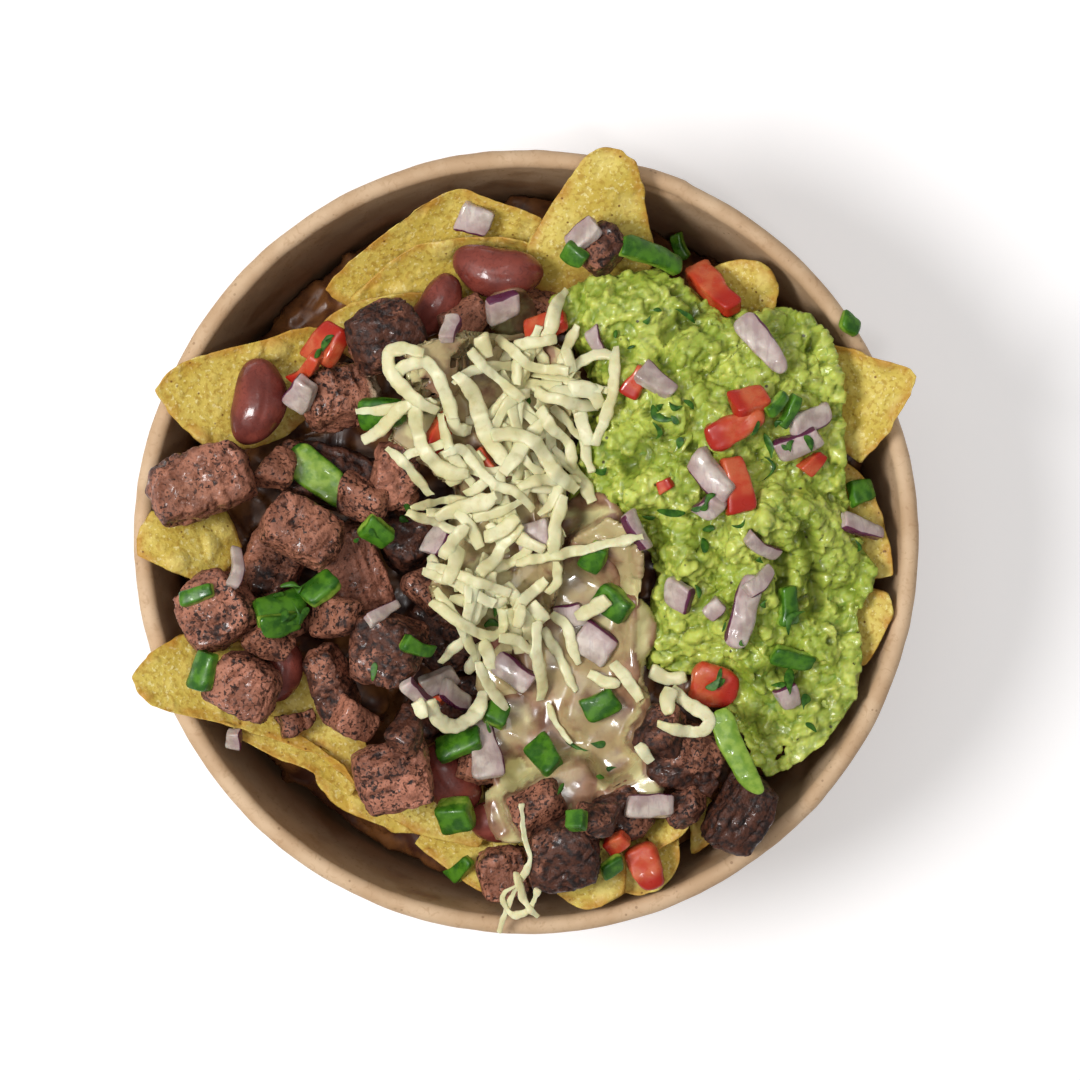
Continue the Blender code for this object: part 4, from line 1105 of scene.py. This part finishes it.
def loose_path(dice):
    """A short shred somewhere in the heap, with a wandering bend."""
    x, y = HEAP_MIDDLE[dice.integers(len(HEAP_MIDDLE))]
    place = np.array([x, y]) + dice.normal(0, 3.6, 2)
    heading = dice.uniform(0, 2 * math.pi)
    bend = dice.normal(0, 0.09)
    knots = [place]
    for _ in range(dice.integers(3, 9)):
        heading += bend + dice.normal(0, 0.16)
        place = place + 2.2 * np.array([math.cos(heading), math.sin(heading)])
        knots.append(place)
    return knots


def make_shreds(ground):
    """The heap of shreds, laid one after another."""
    dice = np.random.default_rng(7)
    jobs = [(loose_path(dice), STRAND_WIDTH * dice.uniform(0.7, 1.0), 0.5) for _ in range(LOOSE_STRANDS)]
    jobs += [(knots, STRAND_WIDTH * dice.uniform(0.75, 1.25), 0.35) for knots in SHREDS]
    jobs += [(knots, STRAND_WIDTH * 0.45, 0.3) for knots in THREADS]
    points, edges, tilt, girth = [], [], [], []
    for knots, width, lean in jobs:
        line = lay_strand(strand_path(knots), ground, width)
        base = len(points)
        points += line.tolist()
        edges += [(base + i, base + i + 1) for i in range(len(line) - 1)]
        along = np.linspace(-1, 1, len(line))
        tilt += (dice.uniform(-lean, lean) + along * dice.uniform(-lean, lean)).tolist()
        taper = 1 - dice.uniform(0.1, 0.5) * ease(0.55, 1, along)
        taper = taper - dice.uniform(0, 0.4) * ease(-0.6, -1, along)
        girth += (width / STRAND_WIDTH * taper).tolist()
    mesh = bpy.data.meshes.new("strand_lines")
    mesh.from_pydata((np.array(points) * MM).tolist(), edges, [])
    store(mesh, "tilt", tilt)
    store(mesh, "girth", girth)
    finish = cheese_finish()
    made = modified(mesh, ribbon_tree(), Width=STRAND_WIDTH * MM, Thickness=STRAND_THICKNESS * MM,
                    Material=finish)
    bm = bmesh.new()
    bm.from_mesh(made)
    bmesh.ops.remove_doubles(bm, verts=bm.verts, dist=1e-6)
    bmesh.ops.triangulate(bm, faces=[face for face in bm.faces if len(face.verts) > 4])
    made = worked(bm, ("SUBSURF", {"levels": 1, "render_levels": 1}))
    moved, normals = points_of(made)
    moved += normals * (0.22 * rough(moved, 1.1, 81) + 0.34 * rough(moved, 2.4, 82))[:, None]
    move_points(made, moved)
    piece("cheese_shreds", made, finish, "shredded_cheese")


# Small toppings.


def box_grid(cuts):
    """Points and faces of a box from -1 to 1 with its sides cut into a grid."""
    bm = bmesh.new()
    bmesh.ops.create_cube(bm, size=2)
    bmesh.ops.subdivide_edges(bm, edges=bm.edges[:], cuts=cuts, use_grid_fill=True)
    points = np.array([vertex.co[:] for vertex in bm.verts])
    faces = [[vertex.index for vertex in face.verts] for face in bm.faces]
    bm.free()
    return points, faces


GRID_POINTS, GRID_FACES = box_grid(7)


def cut_bit(length, width, thickness, seed, bend=0.0, cup=0.0, taper=0.0, crisp=9.0):
    """A knife-cut bit about its own middle: soft corners, a bend, a cupped or narrowing shape."""
    p = GRID_POINTS * ((np.abs(GRID_POINTS) ** crisp).sum(axis=1) ** (-1 / crisp))[:, None]
    x = p[:, 0] * length / 2
    y = p[:, 1] * width / 2 * (1 - taper * p[:, 0])
    z = p[:, 2] * thickness / 2
    y = y + bend * (p[:, 0] ** 2 - 0.4) * length / 2
    z = z - cup * (p[:, 1] ** 2 - 0.3) * width / 2
    points = np.stack([x, y, z], axis=1)
    away = points + 37.0 * seed
    # Knives leave sides that lean and outlines that wander.
    points[:, 0] += points[:, 1] * 0.35 * rough(away[:1], 1.0, seed + 7)[0]
    points += np.stack([rough(away, 3.4, seed + k, 2) for k in range(3)], axis=1) * (0.6, 0.6, 0.3)
    return points, p


def settle(points, x, y, turn, sink, ground, steepest=0.8):
    """Turns a bit about Z and lays it along the slope of what is under it."""
    c, s = math.cos(math.radians(turn)), math.sin(math.radians(turn))
    points = points @ np.array([[c, s, 0], [-s, c, 0], [0, 0, 1]])
    low = points[points[:, 2] < np.median(points[:, 2])]
    z = 62.0
    for _ in range(2):
        px, py = under_eye(x, y, z)
        heights = ground.at(low + np.array([px, py, 0]))
        z = np.percentile(heights, 70)
    plane = np.column_stack([low[:, :2], np.ones(len(low))])
    (gx, gy, _), *_ = np.linalg.lstsq(plane, heights, rcond=None)
    slope = math.hypot(gx, gy)
    if slope > steepest:
        gx, gy = gx * steepest / slope, gy * steepest / slope
    level = np.percentile(heights - gx * low[:, 0] - gy * low[:, 1], 75)
    normal = Vector((-gx, -gy, 1)).normalized()
    turn_up = np.array(Vector((0, 0, 1)).rotation_difference(normal).to_matrix())
    lifted = points @ turn_up.T
    lifted += np.array([px, py, level - points[:, 2].min() - sink])
    ground.add(lifted, 1)
    return lifted


# Bits by kind: plan place, length, width, thickness, turn, bend, cup, taper, sink.
ONIONS = (
    (-10.0, 61.1, 6.4, 5.6, 2.2, -20, 0.0, 0.1, 0.1, 0.4),
    (10.6, 58.4, 7.0, 4.4, 2.2, 35, 0.05, 0.1, 0.1, 0.6),
    (54.2, 23.2, 8.6, 4.2, 2.4, 25, 0.10, 0.2, 0.1, 1.0),
    (51.9, 18.4, 8.8, 4.2, 2.4, 22, 0.12, 0.2, 0.1, 1.0),
    (35.2, 12.3, 10.5, 5.2, 2.4, -48, 0.05, 0.2, 0.1, 1.2),
    (23.5, -50.2, 9.0, 4.4, 3.0, 0, 0.0, 0.1, 0.05, 0.6),
    (29.0, -10.2, 5.2, 5.4, 2.6, 75, 0.0, 0.1, 0.0, 0.8),
    (35.0, 6.6, 5.0, 4.0, 2.0, 40, 0.0, 0.1, 0.1, 0.8),
    (1.6, 0.9, 6.4, 6.0, 2.6, 20, 0.0, 0.1, 0.0, 0.6),
    (13.0, -19.2, 7.6, 6.8, 2.8, -35, 0.0, 0.1, 0.0, 1.2),
    (-8.1, -38.8, 12.6, 5.2, 2.0, 99, 0.05, 0.2, 0.25, 0.2),
    (-2.4, -24.9, 8.4, 4.6, 2.4, -35, 0.05, 0.2, 0.0, 0.4),
    (64.1, 2.8, 9.6, 3.2, 2.0, -12, 0.05, 0.2, 0.2, 0.4),
    (49.8, -29.4, 4.5, 4.2, 2.4, 20, 0.0, 0.1, 0.0, 0.8),
    (35.9, -12.7, 3.8, 3.2, 2.6, 50, 0.0, 0.1, 0.0, 0.8),
    (-43.0, 28.0, 7.0, 5.0, 3.0, 60, 0.0, 0.1, 0.1, 0.4),
    (-55.6, -5.0, 8.5, 2.4, 2.0, 80, 0.15, 0.1, 0.1, 0.4),
    (-27.5, -13.5, 7.6, 2.4, 2.0, 32, 0.0, 0.1, 0.1, 0.2),
    (-55.5, -37.5, 4.2, 2.6, 2.0, 80, 0.05, 0.1, 0.1, 0.2),
    (25.0, 30.5, 8.0, 4.0, 2.2, -35, 0.1, 0.1, 0.2, 1.4),
    (44.6, -7.4, 7.0, 3.0, 2.0, 40, 0.2, 0.2, 0.1, 1.0),
    (45.0, -1.0, 8.5, 2.6, 2.0, -35, 0.15, 0.2, 0.1, 1.2),
    (21.0, 2.0, 8.0, 3.0, 2.4, -60, 0.1, 0.2, 0.2, 0.8),
    (13.5, 38.0, 6.0, 2.4, 2.0, -62, 0.1, 0.1, 0.2, 1.0),
    (-16.5, -26.5, 6.5, 4.5, 2.4, 20, 0.0, 0.1, 0.1, 0.4),
    (-20.5, -29.5, 9.0, 2.6, 2.0, -48, 0.15, 0.2, 0.2, 0.4),
    (-13.5, -29.5, 7.0, 3.4, 2.2, -30, 0.1, 0.2, 0.1, 0.4),
    (-4.5, 44.5, 6.0, 5.0, 2.4, 20, 0.0, 0.1, 0.1, 0.2),
    (-14.5, 40.5, 6.0, 3.0, 2.2, 80, 0.1, 0.1, 0.1, 0.2),
    (8.5, -14.0, 5.4, 4.4, 2.2, 10, 0.0, 0.1, 0.0, 0.8),
    (-17.0, 0.0, 6.0, 4.5, 2.4, 60, 0.0, 0.1, 0.1, 0.4),
)
TOMATOES = (
    (42.2, 26.6, 7.2, 5.2, 3.0, 20, 0.0, 0.0, 0.1, 1.0),
    (35.9, 48.3, 13.5, 4.8, 3.4, -58, 0.05, 0.0, 0.2, 0.8),
    (40.1, 10.6, 10.5, 4.8, 3.0, 100, 0.1, 0.0, 0.2, 1.4),
    (-38.0, 37.5, 8.0, 6.4, 3.6, 50, 0.0, 0.0, 0.1, 0.4),
    (-42.0, 33.0, 8.5, 2.6, 2.6, 45, 0.1, 0.0, 0.1, 0.4),
    (3.7, 41.1, 8.0, 4.6, 2.8, 18, 0.05, 0.0, 0.1, 0.4),
    (-16.5, 20.5, 7.6, 4.0, 2.8, 70, 0.0, 0.0, 0.2, 0.2),
    (-7.3, 14.0, 8.5, 3.6, 2.6, -50, 0.1, 0.0, 0.1, 0.2),
    (21.0, 30.5, 6.5, 3.4, 2.6, 62, 0.1, 0.0, 0.2, 1.0),
    (54.5, 14.8, 5.0, 2.8, 2.4, 40, 0.0, 0.0, 0.2, 1.0),
    (-17.5, -28.5, 6.0, 3.0, 2.6, -50, 0.0, 0.0, 0.1, 0.2),
    (26.5, 10.5, 3.0, 2.0, 1.8, 30, 0.0, 0.0, 0.1, 1.0),
    (17.0, -57.5, 5.0, 3.6, 2.4, 40, 0.0, 0.0, 0.1, 0.4),
)
PEPPERS = (
    (-27.4, 24.3, 9.5, 5.6, 2.4, 10, 0.0, 0.2, 0.2, 0.0),
    (23.5, 54.4, 13.5, 4.0, 2.2, -10, -0.12, 0.2, 0.1, 0.4),
    (29.2, 56.2, 5.5, 2.4, 2.0, -70, 0.15, 0.1, 0.1, 0.0),
    (-61.7, -24.5, 7.4, 4.8, 2.4, 72, 0.0, 0.2, 0.1, 0.2),
    (-13.4, -52.1, 6.4, 6.2, 5.0, 15, 0.0, 0.0, 0.0, 0.6),
    (16.5, -11.7, 7.6, 5.6, 3.4, -30, 0.0, 0.1, 0.1, 0.8),
    (3.5, -40.7, 8.0, 5.2, 3.0, -55, 0.0, 0.1, 0.1, 1.0),
    (14.0, -31.2, 7.0, 5.0, 3.0, 25, 0.1, 0.1, 0.0, 1.2),
    (49.9, -12.1, 7.2, 3.8, 2.4, 95, 0.0, 0.1, 0.1, 1.0),
    (63.6, 9.6, 5.4, 4.6, 2.4, 20, 0.0, 0.1, 0.1, 0.6),
    (61.7, 41.5, 4.2, 3.4, 1.6, -30, 0.0, 0.1, 0.1, 0.0),
    (50.8, -22.4, 8.5, 3.4, 2.2, -20, 0.1, 0.1, 0.1, 1.2),
    (-47.0, -12.5, 10.0, 6.0, 2.6, 25, 0.1, 0.2, 0.1, 0.2),
    (-39.4, -8.7, 7.0, 5.0, 2.4, 40, 0.0, 0.2, 0.1, 0.2),
    (-28.5, 1.6, 6.4, 5.0, 2.2, -40, 0.0, 0.2, 0.1, 0.2),
    (-20.9, -20.1, 7.0, 2.6, 2.0, -20, 0.15, 0.0, 0.1, 0.0),
    (-62.8, -10.2, 6.4, 2.8, 2.0, 15, 0.0, 0.1, 0.1, 0.2),
    (-5.6, -32.7, 5.0, 4.4, 3.4, 70, 0.0, 0.0, 0.0, 0.4),
    (9.4, -53.1, 3.8, 3.6, 2.4, 0, 0.0, 0.0, 0.0, 0.2),
    (16.3, -61.5, 4.4, 3.0, 2.0, 30, 0.0, 0.0, 0.0, 0.2),
    (-12.7, -62.2, 6.6, 3.0, 2.0, 40, 0.1, 0.0, 0.2, 0.0),
    (9.2, 54.6, 5.0, 3.4, 2.0, -30, 0.0, 0.1, 0.1, 0.4),
    (-47.0, -15.8, 8.0, 4.0, 2.2, 5, 0.1, 0.1, 0.1, 0.2),
    (47.5, 26.0, 5.0, 2.0, 1.8, 40, 0.1, 0.1, 0.1, 1.0),
    (-13.0, -38.5, 9.0, 5.0, 2.2, 15, 0.0, 0.2, 0.1, 0.2),
    (13.0, -3.0, 6.0, 4.0, 2.4, 60, 0.0, 0.1, 0.1, 0.4),
    (-8.0, -10.0, 7.0, 4.5, 2.4, -10, 0.0, 0.2, 0.1, 0.0),
    (50.0, 24.5, 6.5, 2.2, 1.8, 65, 0.1, 0.1, 0.1, 1.0),
)


def make_bits(name, rows, finish, slot, ground, seed):
    """All the small cut bits of one kind."""
    pile = Pile()
    for number, (x, y, length, width, thickness, turn, bend, cup, taper, sink) in enumerate(rows):
        points, local = cut_bit(length, width, thickness, seed + number, bend, cup, taper)
        laid = settle(points, x, y, turn, sink, ground)
        pile.add(laid, GRID_FACES, skin=skin_share(name, local, number))
    piece(name, pile.mesh(), finish, slot)


def skin_share(name, local, number):
    """How near each point is to the skin, from 0 to 1."""
    if name.startswith("onion"):
        return np.clip(local[:, 1] * (1 if number % 2 else -1) * 0.5 + 0.5, 0, 1)
    if name.startswith("jalapeno"):
        return np.clip(local[:, 2] * 0.3 + 0.5 + 0.25 * (number % 3 == 0), 0, 1)
    return np.clip(0.5 + 0.5 * local[:, 0] * (1 if number % 2 else -1), 0, 1)


def make_slice(node, suffix, seed, finish, slot, ground):
    """One of the larger cut toppings, made finer from its own solid."""
    bm = merged(node)
    bmesh.ops.join_triangles(
        bm, faces=bm.faces, angle_face_threshold=math.radians(50), angle_shape_threshold=math.radians(60))
    mesh = worked(bm, smoothed(3))
    points, normals = points_of(mesh)
    centre, axes, half = axes_of(points)
    local = (points - centre) @ axes / half
    swell = 0.3 * rough(points, 3, seed, 2) + 0.12 * rough(points, 1.2, seed + 1)
    points = points + normals * swell[:, None]
    move_points(mesh, points)
    store(mesh, "skin", skin_share(node, local, seed))
    ground.add(points, 1)
    piece(node + suffix, mesh, finish, slot, node)


# Where cilantro lies: plan place, spread and number of flecks.
FLECKS = (
    ((38, 8), 15, 16), ((48, -20), 9, 8), ((22, 40), 8, 5), ((36.6, -27.0), 1.6, 3),
    ((-38, 37), 2.0, 3), ((-45, -12), 5, 6), ((-30, -5), 14, 6), ((0, 22), 9, 5), ((-8, -15), 10, 6),
    ((5, -42), 14, 6), ((27, 24), 4, 6), ((48, 20), 3, 4),
)


def make_flecks(ground):
    """Torn bits of cilantro leaf, curled and scattered."""
    dice = np.random.default_rng(23)
    pile = Pile()
    for (x, y), spread, count in FLECKS:
        for number in range(count):
            seed = 900 + int(dice.integers(1000))
            length = dice.uniform(1.4, 3.4) * (1.9 if number % 5 == 0 else 1.0)
            width = min(dice.uniform(0.6, 1.9), length * 0.5)
            points, _ = cut_bit(length, width, 0.3, seed, dice.normal(0, 0.4), dice.uniform(-0.4, 0.6),
                                dice.uniform(-0.8, 0.8), 1.8)
            px, py = np.array([x, y]) + dice.normal(0, spread * 0.6, 2)
            laid = settle(points, px, py, dice.uniform(0, 360), 0.15, ground)
            pile.add(laid, GRID_FACES)
    piece("cilantro_flecks", pile.mesh(), cilantro_finish(), "jalapeno")


# Light, floor and camera.


def make_stage():
    mesh = bpy.data.meshes.new("floor")
    reach = FLOOR_REACH
    mesh.from_pydata([(-reach, -reach, 0), (reach, -reach, 0), (reach, reach, 0), (-reach, reach, 0)],
                     [], [(0, 1, 2, 3)])
    f = Finish("pale_floor", roughness=0.9, specular_ior_level=0.0, base_color=(0.86, 0.84, 0.84, 1))
    path = f.tree.nodes.new("ShaderNodeLightPath")
    seen = Value(f, path.outputs["Is Camera Ray"]) + Value(f, path.outputs["Is Glossy Ray"])
    seen = seen + Value(f, path.outputs["Is Transmission Ray"])
    f.shader.inputs["Emission Color"].default_value = (1, 1, 1, 1)
    glow = f.tree.nodes.new("ShaderNodeEmission")
    f.feed(glow.inputs["Strength"], seen * FLOOR_GLOW)
    both = f.tree.nodes.new("ShaderNodeAddShader")
    f.tree.links.new(f.shader.outputs[0], both.inputs[0])
    f.tree.links.new(glow.outputs[0], both.inputs[1])
    f.tree.links.new(both.outputs[0], f.tree.nodes["Material Output"].inputs["Surface"])
    mesh.materials.append(f.material)
    floor = bpy.data.objects.new("floor", mesh)
    bpy.context.scene.collection.objects.link(floor)

    world = bpy.data.worlds.new("studio")
    bpy.context.scene.world = world
    world.use_nodes = True
    tree = world.node_tree
    tree.nodes["Background"].inputs["Color"].default_value = (1, 1, 1, 1)
    path = tree.nodes.new("ShaderNodeLightPath")
    seen = tree.nodes.new("ShaderNodeMath")
    seen.operation = "MAXIMUM"
    tree.links.new(path.outputs["Is Camera Ray"], seen.inputs[0])
    tree.links.new(path.outputs["Is Transmission Ray"], seen.inputs[1])
    level = tree.nodes.new("ShaderNodeMapRange")
    level.inputs["To Min"].default_value = WORLD_LEVEL
    level.inputs["To Max"].default_value = 1.0
    tree.links.new(seen.outputs[0], level.inputs["Value"])
    tree.links.new(level.outputs["Result"], tree.nodes["Background"].inputs["Strength"])

    for name, place, size, power in LAMPS:
        lamp = bpy.data.lights.new(name, "AREA")
        lamp.shape = "DISK"
        lamp.size = size
        lamp.energy = power
        obj = bpy.data.objects.new(name, lamp)
        obj.location = place
        obj.rotation_euler = (Vector((0, 0, 0.05)) - Vector(place)).to_track_quat("-Z", "Y").to_euler()
        bpy.context.scene.collection.objects.link(obj)

    lens = bpy.data.cameras.new("camera")
    lens.lens = LENS
    lens.sensor_width = SENSOR
    lens.clip_start = 0.01
    camera = bpy.data.objects.new("camera", lens)
    camera.location = Vector(EYE) * MM
    bpy.context.scene.collection.objects.link(camera)
    bpy.context.scene.camera = camera
    bpy.context.scene.view_settings.view_transform = "Standard"


FLOOR_REACH = 6.0
FLOOR_GLOW = 0.28
WORLD_LEVEL = 0.30
# Name, place, size across in metres, and power in watts.
LAMPS = (
    ("key_lamp", (-0.46, -0.04, 0.80), 0.30, 5.3),
    ("fill_lamp", (-0.05, 0.30, 1.10), 0.6, 1.6),
    ("glint_lamp", (0.06, -0.10, 0.95), 0.06, 0.8),
)


def main():
    make_stage()
    ground = Ground()
    make_bowl(ground)
    make_bed(ground)
    chip = chip_finish()
    for seed, node in enumerate(sorted(n for n in NODES if n.startswith("chip_"))):
        make_chip(node, 100 + seed * 10, chip, ground)
    bean = bean_finish()
    for seed, node in enumerate(sorted(n for n in NODES if n.startswith("bean_"))):
        make_bean(node, 400 + seed * 10, bean, ground)
    steak = steak_finish()
    for seed, node in enumerate(sorted(n for n in NODES if n.startswith("steak_"))):
        make_steak(node, 501 + seed * 11, steak, ground)
    make_scraps(steak, ground)
    make_guacamole(ground)
    melted = melted_finish()
    piece("melted_cheese_pool", make_melted(ground), melted, "melted_cheese", "melted_cheese")
    make_film(melted, ground)
    piece("cheese_under_shreds", make_cheese_bed(ground), melted, "melted_cheese", "cheese_heap")
    tomato, onion, pepper = tomato_finish(), onion_finish(), pepper_finish()
    for seed, node in enumerate(("tomato_1", "tomato_2", "tomato_3")):
        make_slice(node, "_cut", 700 + seed, tomato, "tomato", ground)
    for seed, node in enumerate(("onion_1", "onion_2")):
        make_slice(node, "_cut", 710 + seed, onion, "red_onion", ground)
    for seed, node in enumerate(("jalapeno_1", "jalapeno_2")):
        make_slice(node, "_cut", 720 + seed, pepper, "jalapeno", ground)
    make_bits("tomato_bits", TOMATOES, tomato, "tomato", ground, 1200)
    make_bits("onion_bits", ONIONS, onion, "red_onion", ground, 1300)
    make_bits("jalapeno_bits", PEPPERS, pepper, "jalapeno", ground, 1400)
    make_flecks(ground)
    make_shreds(ground)


main()
